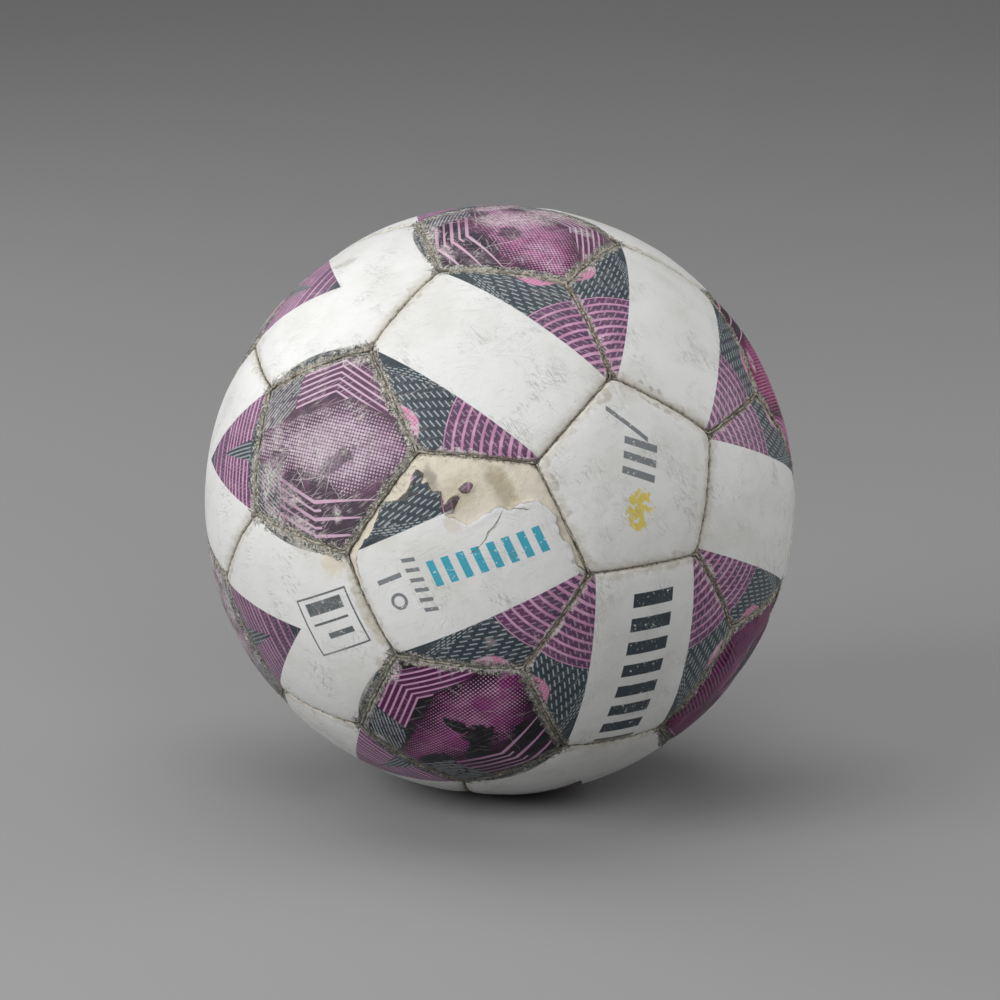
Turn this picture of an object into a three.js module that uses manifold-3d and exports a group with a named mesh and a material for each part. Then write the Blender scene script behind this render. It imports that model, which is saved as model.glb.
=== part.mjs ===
// A worn, slightly soft match ball: 32 hand-stitched panels over a rubber bladder with a needle valve.
// Millimetres, +Z up. The ball stands on the small flat spot that its own weight presses at z = 0.
import * as THREE from "three";
import { mergeVertices } from "three/addons/utils/BufferGeometryUtils.js";
import Module from "manifold-3d";

const wasm = await Module();
wasm.setup();

// Ball
const BALL_RADIUS = 109; // a full-size ball, 685 mm round
const FLAT_DEPTH = 1.5; // how far the resting side is pressed in
const CENTRE_HEIGHT = BALL_RADIUS - FLAT_DEPTH;
// How the ball lies: turned about Z, leant over, then spun about its own white-to-white axis (degrees)
const BALL_TURN = -62.3;
const BALL_LEAN = 74.5;
const BALL_SPIN = -105.1;

// Panels: a printed pentagon is cut a little larger than a white one
const WHITE_REACH = 1 / 3; // share of the way to the next pentagon's centre where a corner lies
const PRINTED_REACH = 0.347;
const SEAM_GAP = 0.2; // from the seam's plane to a panel's turned-in edge
const FLANGE_DEPTH = 8; // how far the turned-in edge reaches below the ball's surface
const FLANGE_WIDTH = 2.2;
const PANEL_THICKNESS = 3.2; // cover, foam and cloth backing together
const COARSE_STEPS = 3; // divisions along one side of a panel
const FINE_STEPS = 6; // the same for panels that touch the floor
const FINE_ANGLE = THREE.MathUtils.degToRad(30);

// Seam thread
const THREAD_HALF_WIDTH = 0.35;
const THREAD_TOP = 1.4; // below the ball's surface
const THREAD_BOTTOM = 2.0;

// Bladder
const BLADDER_RADIUS = 98.4;
const BLADDER_WALL = 1.2;
const BLADDER_MOUTH = 5.3;
const BLADDER_RINGS = 12;
const BLADDER_SEGMENTS = 20;

// Valve, heights measured from the ball's centre along the valve's axis
const VALVE_TIP = 108.4;
const VALVE_TAIL = 90;
const VALVE_RADIUS = 4.5;
const VALVE_FLANGE_RADIUS = 12;
const VALVE_FLANGE_TOP = 100.3;
const VALVE_FLANGE_BOTTOM = 98.9;
const VALVE_BORE = 3;
const VALVE_LIP_BORE = 1.6;
const VALVE_LIP_TOP = 2.9; // thickness of the lip that keeps the insert in, at the tip
const VALVE_LIP_TAIL = 2;
const INSERT_CLEARANCE = 0.35;
const NEEDLE_DIMPLE_RADIUS = 1;
const NEEDLE_DIMPLE_DEPTH = 1.5;
const VALVE_SEGMENTS = 24;
const PANEL_HOLE_CLEARANCE = 0.4;

const whiteCover = new THREE.MeshStandardMaterial({ color: 0xe2e2dc, roughness: 0.45 });
const printedCover = new THREE.MeshStandardMaterial({ color: 0x6e3566, roughness: 0.5 });
const threadFibre = new THREE.MeshStandardMaterial({ color: 0x6f6757, roughness: 0.95 });
const bladderRubber = new THREE.MeshStandardMaterial({ color: 0x23211f, roughness: 0.7 });
const valveRubber = new THREE.MeshStandardMaterial({ color: 0x8c8878, roughness: 0.6 });

const ballTurn = new THREE.Quaternion()
  .setFromAxisAngle(new THREE.Vector3(0, 0, 1), THREE.MathUtils.degToRad(BALL_TURN))
  .multiply(
    new THREE.Quaternion().setFromAxisAngle(
      new THREE.Vector3(0, 1, 0),
      THREE.MathUtils.degToRad(BALL_LEAN),
    ),
  )
  .multiply(
    new THREE.Quaternion().setFromAxisAngle(
      new THREE.Vector3(0, 0, 1),
      THREE.MathUtils.degToRad(BALL_SPIN),
    ),
  );

// The twelve pentagon centres: one white at each pole and two rings of five printed ones.
const RING_LATITUDE = Math.atan(0.5);

function pentagonCentre(latitude, longitude) {
  return new THREE.Vector3(
    Math.cos(latitude) * Math.cos(longitude),
    Math.cos(latitude) * Math.sin(longitude),
    Math.sin(latitude),
  ).applyQuaternion(ballTurn);
}

function makePentagon(name, reach, latitude, longitude) {
  return { name, reach, centre: pentagonCentre(latitude, longitude) };
}

const FIFTH = (2 * Math.PI) / 5;
const frontWhite = makePentagon("pentagon_white_front", WHITE_REACH, Math.PI / 2, 0);
const backWhite = makePentagon("pentagon_white_back", WHITE_REACH, -Math.PI / 2, 0);
const frontPrinted = [];
const backPrinted = [];
for (let k = 0; k < 5; k++) {
  const frontName = `pentagon_printed_front_${k + 1}`;
  const backName = `pentagon_printed_back_${k + 1}`;
  frontPrinted.push(makePentagon(frontName, PRINTED_REACH, RING_LATITUDE, FIFTH * k));
  backPrinted.push(makePentagon(backName, PRINTED_REACH, -RING_LATITUDE, FIFTH * (k + 0.5)));
}
const pentagons = [frontWhite, ...frontPrinted, ...backPrinted, backWhite];

// The corner that pentagon a owns on the line towards pentagon b.
function corner(a, b) {
  return new THREE.Vector3().lerpVectors(a.centre, b.centre, a.reach).normalize();
}

function neighbours(pentagon) {
  const nextCentre = Math.cos(Math.atan(2)) - 0.01;
  return pentagons.filter(
    (other) => other !== pentagon && other.centre.dot(pentagon.centre) > nextCentre,
  );
}

// Corners sorted anticlockwise as seen from outside.
function sortAround(corners) {
  const axis = corners.reduce((sum, c) => sum.add(c), new THREE.Vector3()).normalize();
  const first = corners[0].clone().projectOnPlane(axis).normalize();
  const second = new THREE.Vector3().crossVectors(axis, first);
  const angle = (c) => Math.atan2(c.dot(second), c.dot(first));
  return [...corners].sort((p, q) => angle(p) - angle(q));
}

// The ball's surface, pressed flat where it stands.
function surfaceRadius(direction) {
  const flat = direction.z < 0 ? CENTRE_HEIGHT / -direction.z : Infinity;
  return Math.min(BALL_RADIUS, flat);
}

function stepsFor(direction) {
  const fromFloor = direction.angleTo(new THREE.Vector3(0, 0, -1));
  return fromFloor < FINE_ANGLE ? FINE_STEPS : COARSE_STEPS;
}

// One panel: rings of points from the middle of its face, over the rounded edge, down the turned-in
// flange and back to the middle of its underside. inset is the distance from the seam, drop the depth.
function panelGeometry(corners) {
  const middle = corners.reduce((sum, c) => sum.add(c), new THREE.Vector3()).normalize();
  const sides = corners.length;
  const steps = stepsFor(middle);
  const edgeMiddle = new THREE.Vector3().addVectors(corners[0], corners[1]).normalize();
  const inradius = BALL_RADIUS * middle.angleTo(edgeMiddle);
  const rings = [
    { inset: inradius * 0.6, drop: 0 },
    { inset: inradius * 0.32, drop: 0 },
    { inset: 6.5, drop: 0 },
    { inset: 3.2, drop: 0.4 },
    { inset: 1.3, drop: 1.4 },
    { inset: SEAM_GAP, drop: 2.9 },
    { inset: SEAM_GAP, drop: FLANGE_DEPTH },
    { inset: SEAM_GAP + FLANGE_WIDTH, drop: FLANGE_DEPTH },
    { inset: SEAM_GAP + FLANGE_WIDTH * 1.6, drop: PANEL_THICKNESS + 1.2 },
    { inset: inradius * 0.45, drop: PANEL_THICKNESS },
  ];
  const positions = [];
  const addPoint = (direction, drop) => {
    const point = direction.clone().multiplyScalar(surfaceRadius(direction) - drop);
    positions.push(point.x, point.y, point.z);
  };
  addPoint(middle, 0);
  for (const ring of rings) {
    const share = 1 - ring.inset / inradius;
    for (let side = 0; side < sides; side++) {
      const from = corners[side];
      const to = corners[(side + 1) % sides];
      for (let step = 0; step < steps; step++) {
        const onEdge = new THREE.Vector3().lerpVectors(from, to, step / steps);
        addPoint(new THREE.Vector3().lerpVectors(middle, onEdge, share).normalize(), ring.drop);
      }
    }
  }
  addPoint(middle, PANEL_THICKNESS);

  const around = sides * steps;
  const last = 1 + rings.length * around;
  const indices = [];
  for (let k = 0; k < around; k++) {
    const next = (k + 1) % around;
    indices.push(0, 1 + k, 1 + next);
    for (let ring = 0; ring < rings.length - 1; ring++) {
      const inner = 1 + ring * around;
      const outer = inner + around;
      indices.push(inner + k, outer + k, outer + next);
      indices.push(inner + k, outer + next, inner + next);
    }
    const under = 1 + (rings.length - 1) * around;
    indices.push(last, under + next, under + k);
  }
  return closedGeometry(positions, indices);
}

function closedGeometry(positions, indices) {
  const geometry = new THREE.BufferGeometry();
  geometry.setAttribute("position", new THREE.Float32BufferAttribute(positions, 3));
  geometry.setIndex(indices);
  return geometry;
}

function toSolid(geometry) {
  const bare = geometry.clone();
  bare.deleteAttribute("normal");
  bare.deleteAttribute("uv");
  const merged = mergeVertices(bare, 1e-3);
  return new wasm.Manifold(
    new wasm.Mesh({
      numProp: 3,
      vertProperties: merged.attributes.position.array,
      triVerts: new Uint32Array(merged.index.array),
    }),
  );
}

function toGeometry(solid) {
  const mesh = solid.getMesh();
  return closedGeometry(Array.from(mesh.vertProperties), Array.from(mesh.triVerts));
}

// A turned piece standing on the valve's axis; profile points are [radius, height].
function turnedGeometry(profile, segments) {
  const outline = profile.map(([radius, height]) => new THREE.Vector2(radius, height));
  const geometry = new THREE.LatheGeometry(outline, segments);
  const toValve = new THREE.Quaternion().setFromUnitVectors(
    new THREE.Vector3(0, 1, 0),
    backWhite.centre,
  );
  return geometry.applyQuaternion(toValve);
}

function bladderProfile() {
  const inside = BLADDER_RADIUS - BLADDER_WALL;
  const outerMouth = Math.asin(BLADDER_MOUTH / BLADDER_RADIUS);
  const innerMouth = Math.asin(BLADDER_MOUTH / inside);
  const profile = [];
  for (let ring = 0; ring <= BLADDER_RINGS; ring++) {
    const polar = Math.PI + ((outerMouth - Math.PI) * ring) / BLADDER_RINGS;
    profile.push([BLADDER_RADIUS * Math.sin(polar), BLADDER_RADIUS * Math.cos(polar)]);
  }
  for (let ring = 0; ring <= BLADDER_RINGS; ring++) {
    const polar = innerMouth + ((Math.PI - innerMouth) * ring) / BLADDER_RINGS;
    profile.push([inside * Math.sin(polar), inside * Math.cos(polar)]);
  }
  profile[0][0] = 0;
  profile[profile.length - 1][0] = 0;
  return profile;
}

const housingProfile = [
  [VALVE_LIP_BORE, VALVE_TAIL],
  [VALVE_RADIUS, VALVE_TAIL],
  [VALVE_RADIUS, VALVE_FLANGE_BOTTOM],
  [VALVE_FLANGE_RADIUS, VALVE_FLANGE_BOTTOM],
  [VALVE_FLANGE_RADIUS, VALVE_FLANGE_TOP],
  [VALVE_RADIUS, VALVE_FLANGE_TOP],
  [VALVE_RADIUS, VALVE_TIP],
  [VALVE_LIP_BORE, VALVE_TIP],
  [VALVE_LIP_BORE, VALVE_TIP - VALVE_LIP_TOP],
  [VALVE_BORE, VALVE_TIP - VALVE_LIP_TOP],
  [VALVE_BORE, VALVE_TAIL + VALVE_LIP_TAIL],
  [VALVE_LIP_BORE, VALVE_TAIL + VALVE_LIP_TAIL],
  [VALVE_LIP_BORE, VALVE_TAIL],
];

const insertRadius = VALVE_BORE - INSERT_CLEARANCE;
const insertTop = VALVE_TIP - VALVE_LIP_TOP - INSERT_CLEARANCE;
const insertBottom = VALVE_TAIL + VALVE_LIP_TAIL + INSERT_CLEARANCE;
const insertProfile = [
  [0, insertBottom],
  [insertRadius, insertBottom],
  [insertRadius, insertTop],
  [NEEDLE_DIMPLE_RADIUS, insertTop],
  [0, insertTop - NEEDLE_DIMPLE_DEPTH],
];

// The hole that lets the valve's tip through the middle of a white panel.
function cutValveHole(geometry) {
  const radius = VALVE_RADIUS + PANEL_HOLE_CLEARANCE;
  const drill = turnedGeometry(
    [
      [0, VALVE_FLANGE_TOP],
      [radius, VALVE_FLANGE_TOP],
      [radius, BALL_RADIUS + 1],
      [0, BALL_RADIUS + 1],
    ],
    VALVE_SEGMENTS,
  );
  return toGeometry(toSolid(geometry).subtract(toSolid(drill)));
}

const ball = new THREE.Group();
ball.position.z = CENTRE_HEIGHT;

function addPiece(name, geometry, material) {
  const mesh = new THREE.Mesh(geometry, material);
  mesh.name = name;
  ball.add(mesh);
}

function addPentagon(pentagon) {
  const corners = sortAround(neighbours(pentagon).map((other) => corner(pentagon, other)));
  const plain = panelGeometry(corners);
  const geometry = pentagon === backWhite ? cutValveHole(plain) : plain;
  const isWhite = pentagon === frontWhite || pentagon === backWhite;
  addPiece(pentagon.name, geometry, isWhite ? whiteCover : printedCover);
}

// A hexagon lies between three pentagons and takes two corners on each line between them.
function addHexagon(name, a, b, c) {
  const corners = sortAround([
    corner(a, b),
    corner(b, a),
    corner(b, c),
    corner(c, b),
    corner(c, a),
    corner(a, c),
  ]);
  addPiece(name, panelGeometry(corners), whiteCover);
}

pentagons.forEach(addPentagon);
for (let k = 0; k < 5; k++) {
  const front = frontPrinted[k];
  const nextFront = frontPrinted[(k + 1) % 5];
  const back = backPrinted[k];
  const nextBack = backPrinted[(k + 1) % 5];
  addHexagon(`hexagon_front_${k + 1}`, frontWhite, front, nextFront);
  addHexagon(`hexagon_waist_front_${k + 1}`, front, nextFront, back);
  addHexagon(`hexagon_waist_back_${k + 1}`, back, nextBack, nextFront);
  addHexagon(`hexagon_back_${k + 1}`, backWhite, back, nextBack);
}

// The seam thread is one net: a flat strand in each groove, and a three-way knot at each panel corner.
function threadGeometry() {
  const positions = [];
  const indices = [];
  // Adds a point's top vertex and, next to it, its bottom vertex; returns the top one's number.
  const addPair = (direction, sideways) => {
    const surface = surfaceRadius(direction);
    for (const drop of [THREAD_TOP, THREAD_BOTTOM]) {
      const point = direction.clone().multiplyScalar(surface - drop).add(sideways);
      positions.push(point.x, point.y, point.z);
    }
    return positions.length / 3 - 2;
  };
  const tangent = (from, to) => to.clone().projectOnPlane(from).normalize();

  const knots = new Map();
  for (const a of pentagons) {
    for (const b of neighbours(a)) {
      knots.set(a.name + b.name, { a, b, direction: corner(a, b) });
    }
  }
  for (const knot of knots.values()) {
    const { a, b, direction } = knot;
    const beside = neighbours(a).filter((other) => neighbours(b).includes(other));
    const keys = [b.name + a.name, a.name + beside[0].name, a.name + beside[1].name];
    const ahead = keys.map((key) => knots.get(key));
    const first = tangent(direction, ahead[0].direction);
    const second = new THREE.Vector3().crossVectors(direction, first);
    const angle = (other) => {
      const way = tangent(direction, other.direction);
      return Math.atan2(way.dot(second), way.dot(first));
    };
    knot.ahead = ahead.sort((p, q) => angle(p) - angle(q));
    knot.notches = knot.ahead.map((other, k) => {
      const one = tangent(direction, other.direction);
      const two = tangent(direction, knot.ahead[(k + 1) % 3].direction);
      const reach = THREAD_HALF_WIDTH / Math.sin(one.angleTo(two) / 2);
      return addPair(direction, one.add(two).setLength(reach));
    });
    const [p, q, r] = knot.notches;
    indices.push(p, q, r, p + 1, r + 1, q + 1);
  }

  const addBand = (left, right, nextLeft, nextRight) => {
    indices.push(right, nextRight, nextLeft, right, nextLeft, left);
    indices.push(left + 1, nextLeft + 1, nextRight + 1, left + 1, nextRight + 1, right + 1);
    indices.push(left, nextLeft, nextLeft + 1, left, nextLeft + 1, left + 1);
    indices.push(right + 1, nextRight + 1, nextRight, right + 1, nextRight, right);
  };
  for (const knot of knots.values()) {
    knot.ahead.forEach((end, k) => {
      if (end.done) return;
      const start = knot.direction;
      const across = new THREE.Vector3().crossVectors(start, end.direction);
      const leftward = across.normalize().multiplyScalar(THREAD_HALF_WIDTH);
      const steps = stepsFor(new THREE.Vector3().addVectors(start, end.direction).normalize());
      const back = end.ahead.indexOf(knot);
      let left = knot.notches[k];
      let right = knot.notches[(k + 2) % 3];
      for (let step = 1; step <= steps; step++) {
        const atEnd = step === steps;
        const way = new THREE.Vector3().lerpVectors(start, end.direction, step / steps).normalize();
        const nextLeft = atEnd ? end.notches[(back + 2) % 3] : addPair(way, leftward);
        const opposite = leftward.clone().negate();
        const nextRight = atEnd ? end.notches[back] : addPair(way, opposite);
        addBand(left, right, nextLeft, nextRight);
        left = nextLeft;
        right = nextRight;
      }
    });
    knot.done = true;
  }
  return closedGeometry(positions, indices);
}

addPiece("seam_thread", threadGeometry(), threadFibre);
addPiece("bladder", turnedGeometry(bladderProfile(), BLADDER_SEGMENTS), bladderRubber);
addPiece("valve_housing", turnedGeometry(housingProfile, VALVE_SEGMENTS), valveRubber);
addPiece("valve_insert", turnedGeometry(insertProfile, VALVE_SEGMENTS), valveRubber);

export default ball;
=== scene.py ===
"""A worn, slightly soft stitched soccer ball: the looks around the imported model.

Panel sizes and print are in millimetres on the panel; everything is turned into metres when its mesh is made.
"""

import math
from functools import partialmethod
from itertools import product

import bpy
import numpy as np
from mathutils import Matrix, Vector


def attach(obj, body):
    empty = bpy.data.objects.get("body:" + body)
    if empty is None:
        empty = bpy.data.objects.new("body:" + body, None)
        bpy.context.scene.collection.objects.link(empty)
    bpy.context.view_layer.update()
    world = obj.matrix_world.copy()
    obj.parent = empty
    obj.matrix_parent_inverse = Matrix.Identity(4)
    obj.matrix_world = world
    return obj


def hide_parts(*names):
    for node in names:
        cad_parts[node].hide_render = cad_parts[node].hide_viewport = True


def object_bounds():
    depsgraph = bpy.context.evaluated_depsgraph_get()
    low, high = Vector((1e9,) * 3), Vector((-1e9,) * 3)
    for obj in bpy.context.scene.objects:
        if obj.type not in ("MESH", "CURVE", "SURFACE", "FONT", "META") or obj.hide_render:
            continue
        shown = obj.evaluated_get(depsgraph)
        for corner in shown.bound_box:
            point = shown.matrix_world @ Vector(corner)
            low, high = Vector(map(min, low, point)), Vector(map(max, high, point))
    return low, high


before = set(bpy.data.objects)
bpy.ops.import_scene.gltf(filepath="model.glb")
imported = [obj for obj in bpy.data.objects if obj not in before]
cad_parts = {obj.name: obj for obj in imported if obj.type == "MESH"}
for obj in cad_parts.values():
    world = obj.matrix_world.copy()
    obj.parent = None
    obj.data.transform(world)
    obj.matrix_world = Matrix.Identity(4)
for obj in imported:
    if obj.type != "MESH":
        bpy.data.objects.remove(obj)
cad_low, cad_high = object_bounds()

# ---------------------------------------------------------------- the ball's driving sizes
# All in millimetres, except where a comment says otherwise.
MM = 0.001  # metres
FLAT_DEPTH = 1.5  # how far the resting side is pressed in
RADIUS = ((cad_high.z - cad_low.z) / MM + FLAT_DEPTH) / 2
CENTRE_HEIGHT = RADIUS - FLAT_DEPTH
CENTRE = Vector((0, 0, CENTRE_HEIGHT * MM))  # metres
BALL_TURN, BALL_LEAN, BALL_SPIN = -62.3, 74.5, -105.1  # degrees
WHITE_REACH = 1 / 3  # share of the way to the next pentagon's middle where a white pentagon's corner is
PRINTED_REACH = 0.347  # the same for the printed pentagons, which are slightly larger
SEAM_GAP = 0.2  # between a panel's edge and the middle of its seam
FLANGE_DEPTH = 7.5  # how far a panel's turned-in edge reaches below the cover
FLANGE_TURN = 0.07  # share of the way to the panel's middle that the flange's end is moved in
PANEL_THICKNESS = 3.2
UNDERSIDE_DEPTH = PANEL_THICKNESS + 0.5
UNDERSIDE_TURN = 0.5  # share of the way in of the ring that carries the underside
EDGE_CROWDING = (0.42, 0.58)  # even and crowded shares of the grid's spacing towards the edge
PANEL_STEPS = 48  # divisions from a panel's middle to its edge, and along one side
STITCH = 5.2  # length of one stitch along a seam
HOLE_RADIUS = 4.9  # valve hole in the back white panel
HOLE_RING = 6  # first ring of that panel's grid, which runs round the hole
HOLE_RING_STEP = 0.75  # spacing of the round rings next to the hole
HOLE_BLEND_RINGS = 14  # rings over which the round rings turn back into the panel's own shape
COVER_THICKNESS = 0.45  # what a torn cover layer stands above its backing
FAR = 60.0  # stands for a distance to something that a panel does not have
FIFTH = 2 * math.pi / 5


# ---------------------------------------------------------------- numbers that vary smoothly in space
def unit(v):
    return v / np.linalg.norm(v, axis=-1, keepdims=True)


def lattice(cell, seed):
    """A repeatable number from 0 to 1 for each whole-numbered point of space."""
    cell = cell.astype(np.int64)
    mixed = cell[..., 0] * 73856093 ^ cell[..., 1] * 19349663 ^ cell[..., 2] * 83492791
    mixed = (mixed ^ (seed * 2654435761)) & 0xFFFFFFFF
    mixed = (mixed ^ (mixed >> 15)) * 2246822519 & 0xFFFFFFFF
    mixed = (mixed ^ (mixed >> 13)) * 3266489917 & 0xFFFFFFFF
    return ((mixed ^ (mixed >> 16)) & 0xFFFF) / 65535.0


def lumps(points, size, seed):
    """Smooth noise from -1 to 1 whose bumps are about size apart."""
    p = points / size + 1000.0
    base = np.floor(p)
    f = p - base
    f = f * f * (3 - 2 * f)
    total = np.zeros(p.shape[:-1])
    for step in product((0, 1), repeat=3):
        weight = 1.0
        for axis in range(3):
            weight = weight * np.where(step[axis], f[..., axis], 1 - f[..., axis])
        total += weight * lattice(base + np.array(step), seed)
    return total * 2 - 1


# ---------------------------------------------------------------- panel layout
def about_z(degrees):
    c, s = math.cos(math.radians(degrees)), math.sin(math.radians(degrees))
    return np.array([[c, -s, 0], [s, c, 0], [0, 0, 1]])


def about_y(degrees):
    c, s = math.cos(math.radians(degrees)), math.sin(math.radians(degrees))
    return np.array([[c, 0, s], [0, 1, 0], [-s, 0, c]])


BALL = about_z(BALL_TURN) @ about_y(BALL_LEAN) @ about_z(BALL_SPIN)
RING_LATITUDE = math.atan(0.5)


class Pentagon:
    def __init__(self, name, printed, latitude, longitude):
        self.name = name
        self.printed = printed
        self.reach = PRINTED_REACH if printed else WHITE_REACH
        flat = math.cos(latitude)
        self.centre = BALL @ np.array(
            [flat * math.cos(longitude), flat * math.sin(longitude), math.sin(latitude)]
        )


front_white = Pentagon("pentagon_white_front", False, math.pi / 2, 0)
back_white = Pentagon("pentagon_white_back", False, -math.pi / 2, 0)
front_ring = [
    Pentagon(f"pentagon_printed_front_{k + 1}", True, RING_LATITUDE, FIFTH * k) for k in range(5)
]
back_ring = [
    Pentagon(f"pentagon_printed_back_{k + 1}", True, -RING_LATITUDE, FIFTH * (k + 0.5))
    for k in range(5)
]
pentagons = [front_white, *front_ring, *back_ring, back_white]


NEXT_DOOR = math.cos(math.atan(2)) - 0.01  # cosine of the angle to a neighbour, with some slack


def neighbours(pentagon):
    return [o for o in pentagons if o is not pentagon and o.centre @ pentagon.centre > NEXT_DOOR]


def corner(a, b):
    """The corner that pentagon a owns on the line towards pentagon b."""
    return unit(a.centre * (1 - a.reach) + b.centre * a.reach)


EDGE_ANGLE = 0.35  # radians; an edge whose middle is this near a pentagon's middle is its edge


class Panel:
    """One panel's outline on the unit sphere, with its own flat map in millimetres.

    The map's +Y points at up, and edges are listed anticlockwise as seen from outside. An edge is
    frayed where it belongs to a printed pentagon among the bordering ones.
    """

    def __init__(self, name, corners, up, bordering):
        self.name = name
        self.middle = middle = unit(sum(corners))
        self.y = unit(up - middle * (up @ middle))
        self.x = np.cross(self.y, middle)
        order = sorted(corners, key=lambda c: math.atan2(c @ self.y, c @ self.x))
        self.corners = np.array(order)
        following = np.roll(self.corners, -1, axis=0)
        self.sides = unit(np.cross(self.corners, following))
        halfway = unit(self.corners + following)
        self.frayed = [
            any(p.printed and math.acos(np.clip(h @ p.centre, -1, 1)) < EDGE_ANGLE for p in bordering)
            for h in halfway
        ]
        self.inradius = RADIUS * float(np.mean(np.arcsin(np.clip(self.sides @ middle, -1, 1))))

    def map(self, directions):
        """Flat millimetre coordinates of directions."""
        along = np.arccos(np.clip(directions @ self.middle, -1, 1))
        spread = np.maximum(np.sin(along), 1e-9)
        stretch = np.where(along > 1e-6, along / spread, 1.0) * RADIUS
        return (directions @ self.x) * stretch, (directions @ self.y) * stretch


def pentagon_panel(pentagon, up):
    corners = [corner(pentagon, other) for other in neighbours(pentagon)]
    return Panel(pentagon.name, corners, up, [pentagon])


def hexagon_panel(name, a, b, c, up):
    pairs = [(a, b), (b, a), (b, c), (c, b), (c, a), (a, c)]
    return Panel(name, [corner(p, q) for p, q in pairs], up.centre, [a, b, c])


def all_panels():
    white = [
        pentagon_panel(front_white, front_ring[0].centre),
        pentagon_panel(back_white, back_ring[0].centre),
    ]
    printed = [pentagon_panel(p, front_white.centre) for p in front_ring]
    printed += [pentagon_panel(p, back_white.centre) for p in back_ring]
    banded, waist = [], []
    for k in range(5):
        front, next_front = front_ring[k], front_ring[(k + 1) % 5]
        back, next_back = back_ring[k], back_ring[(k + 1) % 5]
        banded.append(
            hexagon_panel(f"hexagon_front_{k + 1}", front_white, front, next_front, front_white)
        )
        waist.append(hexagon_panel(f"hexagon_waist_front_{k + 1}", front, next_front, back, back))
        waist.append(
            hexagon_panel(f"hexagon_waist_back_{k + 1}", back, next_back, next_front, next_front)
        )
        banded.append(hexagon_panel(f"hexagon_back_{k + 1}", back_white, back, next_back, back_white))
    return white, printed, banded, waist


# ---------------------------------------------------------------- the torn cover
# Outline of what is left of the cover on the torn panel, from the white band's top round the island of
# print on its left side and down to the bottom seam (millimetres on the panel).
TORN_EDGE = [
    (22, 38.4), (17, 36.2), (11, 37.2), (4, 35.9), (-3, 37), (-7, 35.2), (-10.6, 33), (-12.2, 28),
    (-11.6, 23), (-14.6, 20.5), (-14.4, 14), (-13.2, 7.5), (-17.4, 4.5), (-19.6, 1.6), (-24, 2.4),
    (-28, 3.4), (-29, 0.8), (-32.6, 0.4), (-33.4, -1.8), (-36, 0.4), (-39.4, -1.2), (-37.6, -3.8),
    (-33.6, -6.4), (-31.2, -12.6), (-33, -18.4), (-28, -23), (-24.4, -27), (-20.4, -34), (-17, -37),
    (-8, -38.2), (-7, -44),
]
TORN_SIDE = [(60, -44), (60, 38.6)]  # closes the outline over the part that is still covered
# Scraps of print that are left on the backing: middle, half width, half height, turn in degrees.
SCRAPS = [(-25.4, 12.8, 1.7, 2.4, -10), (-22.4, 5.8, 1.7, 3.4, 38), (-21.2, 3.4, 1.6, 1.4, 0)]


def outline_distance(x, y, outline):
    """Distance to a closed outline: negative inside it."""
    best = np.full(x.shape, 1e9)
    inside = np.zeros(x.shape, bool)
    count = len(outline)
    for k in range(count):
        (ax, ay), (bx, by) = outline[k], outline[(k + 1) % count]
        dx, dy = bx - ax, by - ay
        t = np.clip(((x - ax) * dx + (y - ay) * dy) / (dx * dx + dy * dy), 0, 1)
        best = np.minimum(best, np.hypot(x - ax - t * dx, y - ay - t * dy))
        if ay != by:
            crossing = ((ay > y) != (by > y)) & (x < dx * (y - ay) / dy + ax)
            inside ^= crossing
    return np.where(inside, -best, best)


def scrap_distance(x, y, scrap):
    cx, cy, half_width, half_height, turn = scrap
    c, s = math.cos(math.radians(turn)), math.sin(math.radians(turn))
    u, v = (x - cx) * c + (y - cy) * s, (y - cy) * c - (x - cx) * s
    return np.hypot(u / half_width, v / half_height) * min(half_width, half_height) - min(
        half_width, half_height
    )


def torn_distance(x, y, points):
    """How far a point of the torn panel is from the cover: negative where cover is left."""
    distance = outline_distance(x, y, TORN_EDGE + TORN_SIDE)
    for scrap in SCRAPS:
        distance = np.minimum(distance, scrap_distance(x, y, scrap))
    return distance + 0.55 * lumps(points, 2.0, 51) + 0.3 * lumps(points, 0.9, 52)


# ---------------------------------------------------------------- panel meshes
def surface_limit(directions):
    """The most that a point may be from the ball's centre, so that nothing goes under the floor."""
    down = np.maximum(-directions[:, 2], 1e-6)
    return CENTRE_HEIGHT / down


def seam_profile(seam, along, points):
    """How far the surface drops near a seam, with puckers between stitches."""
    rough = 1 + 0.3 * lumps(points, 7, 11)
    drop = 0.85 * np.exp(-((seam / 0.48) ** 2)) + 0.42 * np.exp(-seam / 1.8) + 0.42 * np.exp(-seam / 8)
    pucker = 0.5 + 0.5 * np.cos(2 * math.pi * along / STITCH)
    return (drop + 0.26 * pucker * np.exp(-seam / 2.2)) * rough


def grid_directions(panel, first):
    """Directions of a panel's grid, from ring number first outwards, and where each ring starts."""
    k = np.arange(PANEL_STEPS + 1)
    share_in = (PANEL_STEPS - k) / PANEL_STEPS
    even, crowded = EDGE_CROWDING
    inset = SEAM_GAP + (panel.inradius - SEAM_GAP) * (even * share_in + crowded * share_in**2)
    share = 1 - inset / panel.inradius
    sides = len(panel.corners)
    directions, ring_start, total = [], {}, 0
    if first == 0:
        directions.append(panel.middle[None, :])
        ring_start[0] = 0
        total = 1
    for i in range(max(first, 1), PANEL_STEPS + 1):
        t = (np.arange(i) / i)[:, None]
        ring = []
        for side in range(sides):
            edge = panel.corners[side] * (1 - t) + panel.corners[(side + 1) % sides] * t
            ring.append(panel.middle * (1 - share[i]) + edge * share[i])
        ring = unit(np.vstack(ring))
        if first:
            ring = round_off(panel, ring, i - first)
        directions.append(ring)
        ring_start[i] = total
        total += sides * i
    return np.vstack(directions), ring_start


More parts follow.
